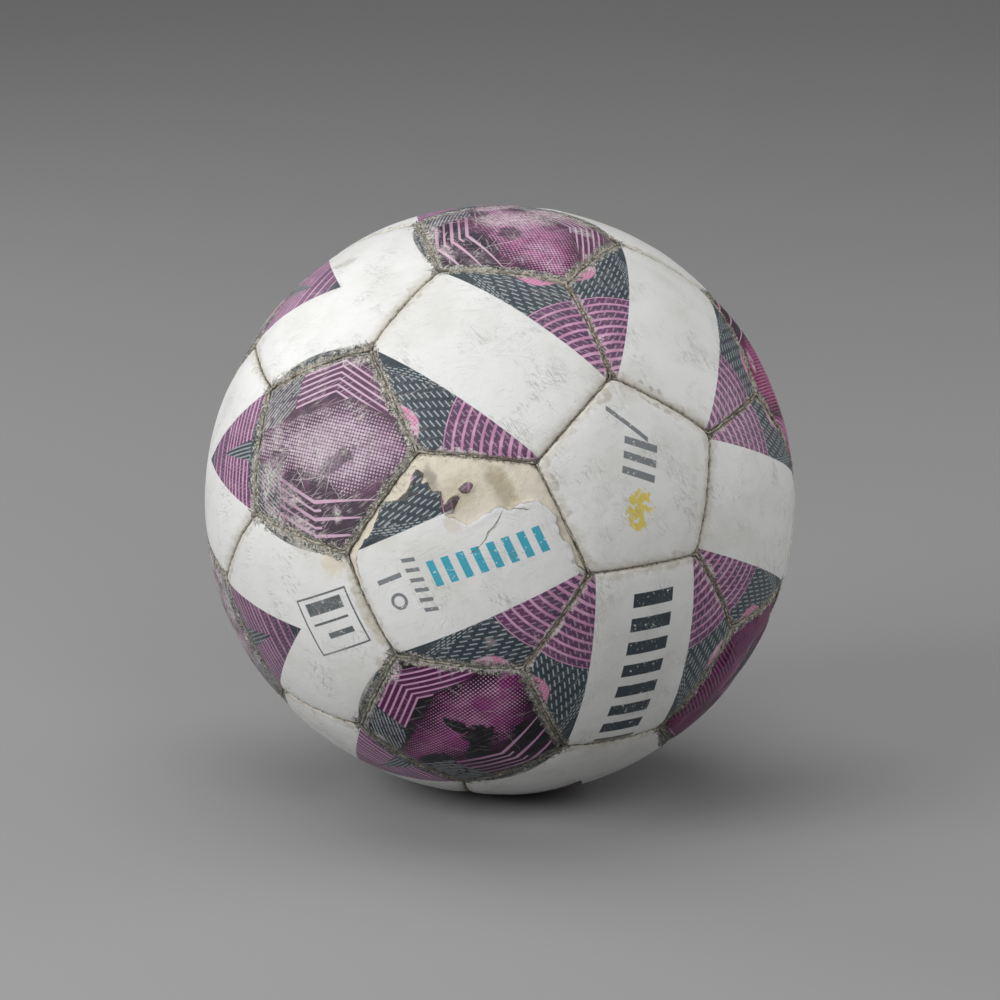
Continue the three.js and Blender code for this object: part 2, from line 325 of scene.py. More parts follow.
def round_off(panel, ring, step):
    """Moves a ring of the grid onto a circle round the valve hole, less and less further out."""
    x, y = panel.map(ring)
    turn = np.arctan2(y, x)
    radius = HOLE_RADIUS + step * HOLE_RING_STEP
    keep = np.clip(step / HOLE_BLEND_RINGS, 0, 1) ** 2
    x = x * keep + radius * np.cos(turn) * (1 - keep)
    y = y * keep + radius * np.sin(turn) * (1 - keep)
    return unit(panel.middle + np.outer(x / RADIUS, panel.x) + np.outer(y / RADIUS, panel.y))


def grid_triangles(sides, ring_start, first):
    triangles = []
    for i in range(first + 1, PANEL_STEPS + 1):
        outer, inner = ring_start[i], ring_start[i - 1]
        outer_count, inner_count = sides * i, max(1, sides * (i - 1))
        for side in range(sides):
            j = np.arange(i)
            a = outer + side * i + j
            b = outer + (side * i + j + 1) % outer_count
            c = inner + (side * (i - 1) + j) % inner_count
            triangles.append(np.stack([c, a, b], 1))
            if i > 1:
                j = np.arange(i - 1)
                a = inner + side * (i - 1) + j
                b = outer + side * i + j + 1
                c = inner + (side * (i - 1) + j + 1) % inner_count
                triangles.append(np.stack([a, b, c], 1))
    return np.vstack(triangles)


WRINKLED_PANEL = "pentagon_printed_front_3"  # its outline is uneven in the photo
WRINKLE_DEPTH, WRINKLE_SIZE = 2.6, 12


def panel_arrays(panel, torn=False, holed=False):
    """Vertices, triangles and map of one panel: top grid, turned-in edge and underside."""
    first = HOLE_RING if holed else 0
    sides = len(panel.corners)
    directions, ring_start = grid_directions(panel, first)
    triangles = grid_triangles(sides, ring_start, first)
    top_count = len(directions)

    seams = np.arcsin(np.clip(directions @ panel.sides.T, -1, 1)) * RADIUS
    softened = -np.log(np.exp(-seams * 1.3).sum(1)) / 1.3
    seam = np.maximum(softened, 0.0)
    nearest = np.argmin(seams, 1)
    mid = unit(panel.corners + np.roll(panel.corners, -1, axis=0))
    tangent = unit(np.cross(panel.sides, mid))
    along = np.arcsin(np.clip((directions * tangent[nearest]).sum(1), -1, 1)) * RADIUS
    frayed = np.array(panel.frayed)
    fray = np.full(top_count, FAR)
    if frayed.any():
        fray = np.maximum(seams[:, frayed].min(1), 0)

    points = directions * RADIUS
    x, y = panel.map(directions)
    height = RADIUS - seam_profile(seam, along, points)
    height += 0.35 * lumps(points, 48, 3) + 0.16 * lumps(points, 15, 4) + 0.07 * lumps(points, 5, 5)
    worn = np.exp(-fray / 2.5)
    height -= worn * (0.25 * lumps(points, 2.1, 6) + 0.16 * lumps(points, 1.0, 7) + 0.2)
    if panel.name == WRINKLED_PANEL:
        height -= WRINKLE_DEPTH * np.maximum(lumps(points, WRINKLE_SIZE, 17), 0) * (1 - np.exp(-seam / 3))
    tear = np.full(top_count, -FAR)
    if torn:
        tear = torn_distance(x, y, points)
        step = np.clip(tear / 0.5, 0, 1)
        curl = np.exp(-((tear + 0.9) ** 2) / 1.2)  # the lifted lip of the torn cover
        height += 0.22 * curl * (1 + lumps(points, 6, 8)) - COVER_THICKNESS * step
        height -= 0.1 * step * lumps(points, 3.5, 9)
    if holed:
        height -= 0.5 * np.exp(-(np.hypot(x, y) - HOLE_RADIUS) / 0.5)
    height = np.minimum(height, surface_limit(directions))

    edge = directions[ring_start[PANEL_STEPS] :]
    count = len(edge)
    inward = panel.middle[None, :]
    flange = unit(edge + (inward - edge) * FLANGE_TURN)
    under = unit(edge + (inward - edge) * UNDERSIDE_TURN)
    centre = directions[: sides * first] if holed else inward
    extra = [
        at_depth(edge, FLANGE_DEPTH),
        at_depth(flange, FLANGE_DEPTH),
        at_depth(under, UNDERSIDE_DEPTH),
        at_depth(centre, UNDERSIDE_DEPTH),
    ]
    vertices = np.vstack([directions * height[:, None], *extra])
    below = []
    j = np.arange(count)
    n = (j + 1) % count
    rings = [ring_start[PANEL_STEPS], top_count, top_count + count, top_count + 2 * count]
    for upper, lower in zip(rings, rings[1:]):
        below.append(np.stack([upper + j, lower + j, lower + n], 1))
        below.append(np.stack([upper + j, lower + n, upper + n], 1))
    last = top_count + 3 * count
    inner_count = sides * first
    if holed:
        group = count // inner_count
        inner = (j + group // 2) // group % inner_count
        below.append(np.stack([rings[-1] + j, last + inner, rings[-1] + n], 1))
        k = np.arange(inner_count)
        following = (k + 1) % inner_count
        turn = rings[-1] + (k * group + group // 2) % count
        below.append(np.stack([turn, last + k, last + following], 1))
        below.append(np.stack([last + k, k, following], 1))
        below.append(np.stack([last + k, following, last + following], 1))
    else:
        below.append(np.stack([rings[-1] + j, np.full(count, last), rings[-1] + n], 1))

    def padded_out(values, fill):
        return np.concatenate([values, np.full(len(vertices) - top_count, fill)])

    spot = np.stack([padded_out(x, 0.0), padded_out(y, 0.0), padded_out(seam, 0.0)], 1)
    trim = np.stack([padded_out(fray, 0.0), padded_out(tear, -FAR), padded_out(along, 0.0)], 1)
    return vertices, triangles, np.vstack(below), spot, trim


def at_depth(directions, depth):
    level = np.minimum(RADIUS, surface_limit(directions)) - depth
    return directions * level[:, None]


BAKE_TOP_SIDE = 0.86  # share of the texture square that the outer face fills
BAKE_HALF_WIDTH = 46.0  # millimetres from a panel's middle to the side of its square
BAKE_UNDER_MIDDLE = (0.92, 0.08)
BAKE_UNDER_SCALE = 0.07


def make_mesh(name, vertices, triangles):
    """A mesh in metres on the floor, from vertices in millimetres from the ball's centre."""
    placed = vertices * MM + np.array([0, 0, CENTRE_HEIGHT * MM])
    mesh = bpy.data.meshes.new(name)
    mesh.vertices.add(len(placed))
    mesh.vertices.foreach_set("co", np.asarray(placed, np.float32).ravel())
    mesh.loops.add(len(triangles) * 3)
    mesh.loops.foreach_set("vertex_index", np.asarray(triangles, np.int32).ravel())
    mesh.polygons.add(len(triangles))
    mesh.polygons.foreach_set("loop_start", np.arange(0, len(triangles) * 3, 3, dtype=np.int32))
    mesh.update(calc_edges=True)
    mesh.shade_smooth()
    return mesh


def add_object(name, data):
    added = bpy.data.objects.new(name, data)
    bpy.context.scene.collection.objects.link(added)
    return added


def add_piece(name, mesh, material):
    piece = add_object(name, mesh)
    mesh.materials.append(material)
    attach(piece, "root")
    return piece


def store(mesh, name, values):
    attribute = mesh.attributes.new(name, "FLOAT_VECTOR", "POINT")
    attribute.data.foreach_set("vector", np.asarray(values, np.float32).ravel())


def panel_mesh(panel, torn=False, holed=False):
    vertices, top, below, spot, trim = panel_arrays(panel, torn, holed)
    mesh = make_mesh(panel.name, vertices, np.vstack([top, below]))
    store(mesh, "spot", spot)
    store(mesh, "trim", trim)
    x, y = panel.map(unit(vertices))
    flat = np.stack([x, y], 1) / (2 * BAKE_HALF_WIDTH)
    top_uv = (flat[top.ravel()] + 0.5) * BAKE_TOP_SIDE + (1 - BAKE_TOP_SIDE) * np.array([0.0, 1.0])
    under_uv = flat[below.ravel()] * 2 * BAKE_UNDER_SCALE + np.array(BAKE_UNDER_MIDDLE)
    layer = mesh.uv_layers.new(name="OFBake")
    layer.data.foreach_set("uv", np.vstack([top_uv, under_uv]).astype(np.float32).ravel())
    return mesh


# ---------------------------------------------------------------- painting with nodes
def ink(code):
    """A colour written as six hex digits, as linear RGBA."""
    parts = [int(code[k : k + 2], 16) / 255 for k in (0, 2, 4)]
    return tuple(c / 12.92 if c <= 0.04045 else ((c + 0.055) / 1.055) ** 2.4 for c in parts) + (1.0,)


class Tint:
    """A colour that varies over a surface."""

    def __init__(self, tree, socket):
        self.tree = tree
        self.socket = socket


class Field(Tint):
    """A number that varies over a surface. Arithmetic on it adds Math nodes to its material."""

    def math(self, operation, *others):
        node = self.tree.nodes.new("ShaderNodeMath")
        node.operation = operation
        for slot, value in zip(node.inputs, (self, *others)):
            give(slot, value)
        return Field(self.tree, node.outputs[0])

    __add__ = __radd__ = partialmethod(math, "ADD")
    __sub__ = partialmethod(math, "SUBTRACT")
    __mul__ = __rmul__ = partialmethod(math, "MULTIPLY")
    __truediv__ = partialmethod(math, "DIVIDE")
    __abs__ = partialmethod(math, "ABSOLUTE")
    floor = partialmethod(math, "FLOOR")
    fract = partialmethod(math, "FRACT")
    lower = partialmethod(math, "MINIMUM")
    upper = partialmethod(math, "MAXIMUM")
    power = partialmethod(math, "POWER")
    sine = partialmethod(math, "SINE")

    def __rsub__(self, other):
        return (self * -1.0) + other

    def ramp(self, start, end):
        """0 before start and 1 after end, smooth between; end may be the smaller."""
        node = self.tree.nodes.new("ShaderNodeMapRange")
        node.interpolation_type = "SMOOTHSTEP"
        give(node.inputs["Value"], self)
        give(node.inputs["From Min"], start)
        give(node.inputs["From Max"], end)
        return Field(self.tree, node.outputs["Result"])

    def below(self, limit, soft=0.25):
        return self.ramp(limit + soft / 2, limit - soft / 2)

    def above(self, limit, soft=0.25):
        return self.ramp(limit - soft / 2, limit + soft / 2)


def give(socket, value):
    """Sets a node's input to a number or a colour, or links a field or a colour to it."""
    if isinstance(value, Tint):
        value.tree.links.new(value.socket, socket)
    else:
        socket.default_value = value


def hypot(a, b):
    return (a * a + b * b).power(0.5)


def side_of(x, y, start, end):
    """Distance from the line through two points, positive on its left."""
    (ax, ay), (bx, by) = start, end
    length = math.hypot(bx - ax, by - ay)
    ux, uy = (bx - ax) / length, (by - ay) / length
    return y * ux - x * uy + (ax * uy - ay * ux)


def stripes(field, pitch, width, soft=0.3):
    """1 on lines a pitch apart, 0 between them."""
    return (abs((field / pitch).fract() - 0.5) * pitch).below(width * 0.5, soft)


def dashes(across, along, pitch, width, period, share, stagger, soft=0.3):
    """Rows of dashes: each column is shifted from the last by stagger."""
    column = (across / pitch).floor()
    phase = ((along + column * stagger) / period).fract()
    filled = abs(phase - 0.5).below(share * 0.5, soft / period)
    return stripes(across, pitch, width, soft) * filled


def dots(x, y, pitch, turn, size, soft=0.3):
    """A turned square grid of dots; size may vary over the surface."""
    c, s = math.cos(math.radians(turn)), math.sin(math.radians(turn))
    u = abs(((x * c + y * s) / pitch).fract() - 0.5) * pitch
    v = abs(((y * c - x * s) / pitch).fract() - 0.5) * pitch
    reach = (u.power(3.0) + v.power(3.0)).power(1 / 3)
    return reach.below(size * 0.5, soft)


WAVE = 2.2  # how far the wavy map strays, in millimetres
WAVE_LENGTH = 3.2


class Paint:
    """One material being painted: fields of the panel's map, noise, and a stack of colours."""

    def __init__(self, name):
        self.material = bpy.data.materials.new(name)
        self.material.use_nodes = True
        self.tree = self.material.node_tree
        self.shader = self.tree.nodes["Principled BSDF"]
        coordinates = self.node("TexCoord")
        scaled = self.node("VectorMath", coordinates.outputs["Object"], {"Scale": 1 / MM}, operation="SCALE")
        self.place = scaled.outputs[0]  # millimetres

    def node(self, kind, source=None, inputs=(), **settings):
        """A new node with its settings and inputs, whose first input comes from source."""
        node = self.tree.nodes.new("ShaderNode" + kind)
        for name, value in settings.items():
            setattr(node, name, value)
        for key, value in dict(inputs).items():
            give(node.inputs[key], value)
        if source is not None:
            self.tree.links.new(source, node.inputs[0])
        return node

    def split(self, vector):
        return [Field(self.tree, out) for out in self.node("SeparateXYZ", vector).outputs]

    def parts(self, attribute):
        return self.split(self.node("Attribute", attribute_name=attribute).outputs["Vector"])

    def painted_shade_below(self):
        """Painted shade: rises from 0 at half the ball's height to 1 near the floor, where it darkens the
        seams.
        """
        return self.split(self.place)[2].ramp(95.0, 25.0)

    def noise(self, size, detail=2.0, seed=0.0, roughness=0.5):
        """Noise from 0 to 1 whose features are size millimetres apart."""
        shift = {1: (seed * 137.0, seed * 71.0, seed * 293.0)}
        moved = self.node("VectorMath", self.place, shift, operation="ADD").outputs[0]
        grain = {"Scale": 1 / size, "Detail": detail, "Roughness": roughness}
        return Field(self.tree, self.node("TexNoise", moved, grain).outputs["Fac"])

    def streaks(self, turn, length, width, seed=0.0, detail=1.0):
        """Noise from 0 to 1 drawn out into streaks; turn is three angles in degrees."""
        middle = (seed * 31.0, seed * 17.0, seed * 53.0)
        angles = [math.radians(a) for a in turn]
        drawn_out = self.map_to(self.place, middle, angles, (length, width, length))
        noise = self.node("TexNoise", drawn_out, {"Scale": 1.0, "Detail": detail})
        return Field(self.tree, noise.outputs["Fac"])

    def cells(self, size):
        """Distance from 0 up to the nearest wall of a pebbled grain."""
        node = self.node("TexVoronoi", self.place, {"Scale": 1 / size}, feature="DISTANCE_TO_EDGE")
        return Field(self.tree, node.outputs["Distance"])

    def lay_flat(self, x, y):
        """Keeps the panel's own map as vectors, one true and one wavy, for patches and scratches."""
        self.flat = self.node("CombineXYZ", inputs={0: x, 1: y}).outputs[0]
        noise = self.node("TexNoise", self.place, {"Scale": 1 / WAVE_LENGTH, "Detail": 3.0})
        reach = {1: (WAVE, WAVE, 0.0)}
        wave = self.node("VectorMath", noise.outputs["Color"], reach, operation="MULTIPLY_ADD")
        self.tree.links.new(self.flat, wave.inputs[2])
        self.wavy = wave.outputs[0]

    def map_to(self, vector, middle, turn, size):
        """The vector as seen in a box with this middle, turn and half size."""
        box = {"Location": middle, "Rotation": turn, "Scale": size}
        return self.node("Mapping", vector, box, vector_type="TEXTURE").outputs[0]

    def oval(self, vector, middle_x, middle_y, half_width, half_height, turn):
        """1 on the oval, less inside it and more outside; turn in degrees."""
        turned = (0.0, 0.0, math.radians(turn))
        inside = self.map_to(vector, (middle_x, middle_y, 0.0), turned, (half_width, half_height, 1.0))
        return Field(self.tree, self.node("VectorMath", inside, operation="LENGTH").outputs["Value"])

    def patch(self, spec, ragged, soft=0.22):
        """A ragged oval: middle x, y, half width, half height, turn in degrees."""
        return (self.oval(self.flat, *spec) + ragged).ramp(1.0 + soft / 2, 1.0 - soft / 2)

    def stroke(self, spec):
        """A thin wavy scratch from one point to another: x, y, x, y, width."""
        ax, ay, bx, by, width = spec
        middle_x, middle_y = (ax + bx) / 2 + WAVE / 2, (ay + by) / 2 + WAVE / 2
        turn = math.degrees(math.atan2(by - ay, bx - ax))
        half = math.hypot(bx - ax, by - ay) / 2
        return self.oval(self.wavy, middle_x, middle_y, half, width / 2, turn).ramp(1.2, 0.5)

    def mix(self, under, over, share):
        node = self.node("Mix", data_type="RGBA")
        give(node.inputs["Factor"], share)
        give(node.inputs[6], under)
        give(node.inputs[7], over)
        return Tint(self.tree, node.outputs[2])

    def finish(self, colour, roughness, height, specular=0.4, sheen=0.0):
        give(self.shader.inputs["Base Color"], colour)
        give(self.shader.inputs["Roughness"], roughness)
        self.shader.inputs["Specular IOR Level"].default_value = specular
        self.shader.inputs["Sheen Weight"].default_value = sheen
        self.shader.inputs["Sheen Roughness"].default_value = 0.4
        bump = self.node("Bump", inputs={"Distance": MM, "Height": height})
        self.tree.links.new(bump.outputs[0], self.shader.inputs["Normal"])
        return self.material


# ---------------------------------------------------------------- inks
WHITE = ink("e4e4e3")
WHITE_SHADE = ink("d3d2cc")
TEAL = ink("313d45")
TEAL_LINE = ink("a9b3b5")
PLUM = ink("563c59")
MAUVE = ink("a883a4")
PINK = ink("cfa1bf")
HOT_PINK = ink("b8749e")
MAGENTA = ink("7b3c6b")
NIGHT = ink("1d1c24")
CREAM = ink("dbd2c0")
TAN = ink("aea695")
DIRT = ink("7a7266")
SOOT = ink("453f37")
HALO = ink("c8c3b5")
STUBBLE_DARK = ink("43443f")
STUBBLE_PALE = ink("bfbdb2")
CHIP = ink("dcdad2")
CYAN = ink("3fa6bd")
GREY_MARK = ink("7d8285")
AMBER = ink("e2ca3c")
ROSE = ink("dc96ae")
RUBBED_PRINT = ink("c9b7bd")


# ---------------------------------------------------------------- the print on each kind of panel
# Plain numbers in the prints are millimetres on the panel's map; those from 0 to 1 beside a colour are
# shares. Each noise has its own seed, so that no two patterns line up.
BAND_HALF = 20.4  # half the width of the white band on a banded hexagon
ARC_CENTRE = (12.0, 50.0)
ARC_OUTER = 49.2
ARC_PITCH = 3.45
DASH_LEAN = 0.245
PRINTED_CORNER = (44.0, 0.0)  # where a printed pentagon's tip meets a banded hexagon
LOWER_CORNER = (22.0, -39.0)


def banded_print(p, x, y):
    """White band with a printed corner on either side."""
    ax = abs(x)
    radius = hypot(ax - ARC_CENTRE[0], y - ARC_CENTRE[1])
    upper = radius.below(ARC_OUTER)
    c, s = math.cos(DASH_LEAN), math.sin(DASH_LEAN)
    main = dashes(ax * c - y * s, ax * s + y * c, 1.75, 0.5, 4.8, 0.62, 1.55)
    fan = dashes(ax * c + y * s, y * c - ax * s, 0.95, 0.38, 2.6, 0.66, 0.9)
    in_fan = side_of(ax, y, (BAND_HALF, -1), (25.6, -27)).below(0.0)
    plain = side_of(ax, y, (BAND_HALF - 0.6, -17), (25, -31)).below(0.0)
    fan_share = in_fan * y.below(-2.0, 2.0)
    dash = (main * (1.0 - fan_share)).upper(fan * fan_share) * (1.0 - plain * y.below(-14.0, 2.0))
    tone = p.noise(7, 2.0, 41.0)
    ground = p.mix(PLUM, MAGENTA, tone.ramp(0.42, 0.62) * 0.45)
    colour = p.mix(TEAL, ground, upper)
    colour = p.mix(colour, TEAL_LINE, dash * (1.0 - upper) * 0.9)
    colour = p.mix(colour, MAUVE, dash * upper * 0.9)
    arc_width = 0.8 + (y / 40.0).upper(0.0) * 0.6
    arcs = abs(((radius - ARC_OUTER) / ARC_PITCH).fract() - 0.5) * ARC_PITCH
    arcs = (arcs - ARC_PITCH / 2 + arc_width * 0.5).above(0.0) * upper
    colour = p.mix(colour, p.mix(PINK, HOT_PINK, tone.ramp(0.62, 0.38) * 0.7), arcs)
    # a little of the pentagon's dotted field runs over the seam near its tip
    (kx, ky), (lx, ly) = PRINTED_CORNER, LOWER_CORNER
    length = math.hypot(lx - kx, ly - ky)
    tx, ty = (lx - kx) / length, (ly - ky) / length
    down = (ax - kx) * tx + (y - ky) * ty
    away = (ax - kx) * ty - (y - ky) * tx
    swell = (down / 20.0).math("MULTIPLY", math.pi).sine() * 5.4
    spill = abs(away).below(swell, 0.8) * down.above(0.5) * down.below(19.5)
    spilt = p.mix(HOT_PINK, ROSE, dots(x, y, 1.25, -10, 0.95))
    spilt = p.mix(spilt, RUBBED_PRINT, p.noise(3.2, 3.0, 42.0).ramp(0.48, 0.6) * x.above(0.0) * 0.8)
    colour = p.mix(colour, spilt, spill)
    return p.mix(colour, WHITE, ax.below(BAND_HALF))


CHEVRON_BEND = 4.0
CHEVRON_PITCH = 2.45
FIRST_BOLD_LINE = 18.0
BOLD_PITCH = 6.2
DOT_PITCH = 1.25
DOT_TURN = -10


def pentagon_print(p, x, y, look):
    """Dotted field in the middle, nested chevrons at the left, bold bent lines at the right."""
    tone = p.noise(11, 2.0, 43.0)
    base = p.mix(look["base"], look["rich"], tone.ramp(0.4, 0.65) * 0.7)
    # dotted field
    field_left = side_of(x, y, (-5, 42), (-17.5, 12)).lower(side_of(x, y, (-17.5, 12), (-6, -30)))
    field_right = side_of(x, y, (4, -30), (17, 12)).lower(side_of(x, y, (18, 12), (4, 42)))
    inside = field_left.lower(field_right)
    size = inside.ramp(-1.0, 9.0) * 0.5 + (p.noise(6, 2.0, 44.0) - 0.5) * 0.5 + look["dot"]
    dot = dots(x, y, DOT_PITCH, DOT_TURN, size) * inside.above(0.0, 2.0)
    dot = dot * (1.0 - p.noise(2.2, 4.0, 48.0, 0.7).ramp(0.45, 0.7) * look["broken"])
    outer = x.ramp(14.0, 19.0).upper(1.0 - x.ramp(-20.0, -16.0))
    colour = p.mix(base, look["night"], outer * look["dark"] * 0.8)
    patch = x * 0.0
    ragged = (p.noise(2.4, 3.0, 45.0) - 0.5) * 1.5
    for spec in look["blots"]:
        patch = patch.upper(p.patch(spec, ragged, 0.3))
    colour = p.mix(colour, look["night"], patch * look["dark"])
    dot = dot * (1.0 - patch * look["dark"])
    dot_ink = p.mix(look["dots"], look["bright"], tone.ramp(0.62, 0.36) * (y.ramp(-5.0, 25.0) * 0.6 + 0.4))
    colour = p.mix(colour, dot_ink, dot)
    # nested chevrons
    above = (y - CHEVRON_BEND).upper(0.0)
    under = (CHEVRON_BEND - y).upper(0.0)
    bent = x - above * 0.5 - under * 0.36
    nested = bent.above(-35.3) * bent.below(-20.4) * y.above(-13.5) * inside.below(-1.0)
    colour = p.mix(colour, look["rich"], nested * look["dark"] * 0.8)
    chevrons = stripes(bent, CHEVRON_PITCH, 0.8) * nested
    colour = p.mix(colour, look["lines"], chevrons)
    # bold bent lines
    bold = x + y.upper(0.0) * 0.06 + (y * -1.0).upper(0.0) * 0.5
    taper = y.ramp(24.0, 0.0) * 0.9 + 0.45
    turn = ((bold - FIRST_BOLD_LINE) / BOLD_PITCH).fract()
    thick = (abs(turn - 0.25) * BOLD_PITCH).below(taper * 0.5) * bold.above(17.5)
    short = (abs(turn - 0.75) * BOLD_PITCH).below(0.45) * bold.above(17.5) * y.below(3.0)
    bold_lines = thick.upper(short) * y.above(-17.0)
    colour = p.mix(colour, p.mix(look["lines"], look["rich"], y.ramp(0.0, -14.0) * 0.5), bold_lines)
    # hatched lower corners
    left_edge = side_of(x, y, (-15, -13), (-4, -27)).below(0.0)
    wobble = (p.noise(3.2, 4.0, 51.0, 0.7) - 0.5) * 9.0 * look["broken"]
    left_hatch = (y + wobble).below(-13.5, 0.8) * left_edge * inside.below(-0.5)
    right_hatch = (y + wobble).below(-17.0, 0.8) * x.above(4.0) * inside.below(-0.5)
    broken = p.noise(3.5, 4.0, 50.0, 0.7).ramp(0.36, 0.6)
    colour = p.mix(colour, look["hatch"], left_hatch.upper(right_hatch) * broken * 0.8)
    lines = (stripes(x * 0.66 + y * 0.75, 1.35, 0.55) * left_hatch).upper(
        stripes(x * 0.8 - y * 0.6, 1.35, 0.55) * right_hatch
    )
    return p.mix(colour, look["hatch_line"], lines * p.noise(2.0, 3.0, 49.0).ramp(0.36, 0.5) * 0.9)


WEDGE_TIP = -6.0
WEDGE_SLOPE = 0.53
WEDGE_SQUARE = 0.88  # turns a distance along x into one square to the wedge's side


def beside_wedge(x, y):
    """Distance from a waist hexagon's printed wedge, negative inside it."""
    return (abs(x) - (y - WEDGE_TIP) * WEDGE_SLOPE) * WEDGE_SQUARE


def waist_print(p, x, y, shaded):
    """White, with one printed wedge that points away from the odd pentagon; painted shade darkens the wedge
    towards NIGHT by the last argument's share.
    """
    ax = abs(x)
    fine = dashes(x * 0.97 + y * 0.24, y * 0.97 - x * 0.24, 1.3, 0.5, 3.2, 0.6, 1.0)
    tone = p.noise(7, 2.0, 46.0)
    colour = p.mix(p.mix(PLUM, MAGENTA, tone.ramp(0.4, 0.65) * 0.5), MAUVE, fine * 0.55)
    colour = p.mix(colour, p.mix(PINK, HOT_PINK, tone.ramp(0.6, 0.4) * 0.6), stripes(y - 2.6, 5.1, 1.1))
    colour = p.mix(colour, PINK, stripes(y, 5.1, 0.7) * y.above(14.0))
    core = (ax - (y - 14.0) * 0.2).below(0.0) * y.above(14.0)
    colour = p.mix(colour, TEAL, core)
    colour = p.mix(colour, TEAL_LINE, core * stripes(x + y * 0.1, 1.5, 0.5) * 0.8)
    # painted shade: the wedge is darkened towards NIGHT by the given share
    colour = p.mix(p.mix(TEAL, colour, y.above(0.0)), NIGHT, shaded)
    return p.mix(colour, WHITE, beside_wedge(x, y).above(0.0))


def combed_edge(p, colour, seam, along):
    """Slanted stripes that run in from the seams of the pentagon at the lower right of the photo."""
    comb = stripes(along - seam * 0.5, 1.75, 0.75) * (1.0 - p.noise(2.0, 3.0, 55.0).ramp(0.6, 0.7))
    reach = seam.above(3.0, 0.8) * seam.below(17.0, 2.0)
    return p.mix(colour, p.mix(ink("260f20"), ink("963a79"), comb), reach)


def edge_strip(p, colour, along, fray):
    """The thin dark strip that borders a waist hexagon where it meets a printed pentagon."""
    arch = 4.3 - along * along * 0.0085
    strip = fray.below(arch, 0.35)
    return p.mix(colour, p.mix(TEAL, TEAL_LINE, p.noise(1.1, 1.0, 7.0).ramp(0.52, 0.66) * 0.6), strip)


# Plain marks that stand in the places of the ball's lettering: rows of plain bars only. Each is its
# middle x, y, half width, half height, the bars' pitch (0 for one solid bar), the inked share of the
# pitch, whether the row runs along x, its slant and its ink.
TORN_MARKS = [
    (0.2, 10.4, 4.9, 22.4, 5.6, 0.52, False, 0.12, CYAN),
    (0.4, -17.6, 11.6, 2.5, 3.9, 0.4, True, 0.25, GREY_MARK),
    (-6.6, -27.2, 0.9, 4.9, 0, 1, False, 0, GREY_MARK),
]
TORN_RING = (2.2, -27.4, 2.6, 1.2)  # middle x, y, radius and width of a plain ring
BARRED_MARKS = [(0.6, -4.4, 8.2, 37.0, 9.4, 0.56, False, 0.06, TEAL)]
WAIST_MARKS = [(-8.2, 29.2, 2.4, 6.4, 0, 1, False, -0.55, TEAL)]
EMBLEM_MARKS = [
    (19.0, 6.0, 0.9, 8.4, 0, 1, False, 0.55, GREY_MARK),
    (8.2, 0.2, 8.0, 6.6, 5.4, 0.5, True, 0.12, GREY_MARK),
]
EMBLEM_SPOT = (-11.0, -2.0, 7.0, 4.9, 0)


def mark_bars(x, y, mark):
    middle_x, middle_y, half_width, half_height, pitch, share, along_x, slant, _ = mark
    v = y - middle_y
    u = x - middle_x - v * slant
    inked = abs(u).below(half_width, 0.2) * abs(v).below(half_height, 0.2)
    if pitch:
        run = u + half_width if along_x else v + half_height
        inked = inked * stripes(run - pitch / 2 * share + pitch / 2, pitch, pitch * share, 0.25)
    return inked


def mark_ring(x, y, ring):
    middle_x, middle_y, radius, width = ring
    return abs(hypot(x - middle_x, y - middle_y) - radius).below(width / 2, 0.2)


def box_outline(p, colour, x, y):
    """A plain ruled box with solid bars, in the place of a stamp."""
    u, v = abs(x + 1.0), abs(y + 22.0)
    rim = u.below(11.2) * v.below(12.2) * (1.0 - u.below(10.5) * v.below(11.5))
    bars = abs(x - 5.5).below(2.4) * abs(y + 22.0).below(8.6)
    rule = abs(x + 0.4).below(0.45) * v.below(8.5) + abs(x + 5.6).below(1.1) * abs(y + 24.0).below(6.0)
    rubbed_ink = p.noise(1.2, 2.0, 47.0).ramp(0.76, 0.62)
    return p.mix(colour, ink("5c6265"), rim.upper(rule).upper(bars) * rubbed_ink)


# ---------------------------------------------------------------- wear that every panel shares
BLOTCH_PITCH = 4.4  # spacing of the row of small stains beside a seam


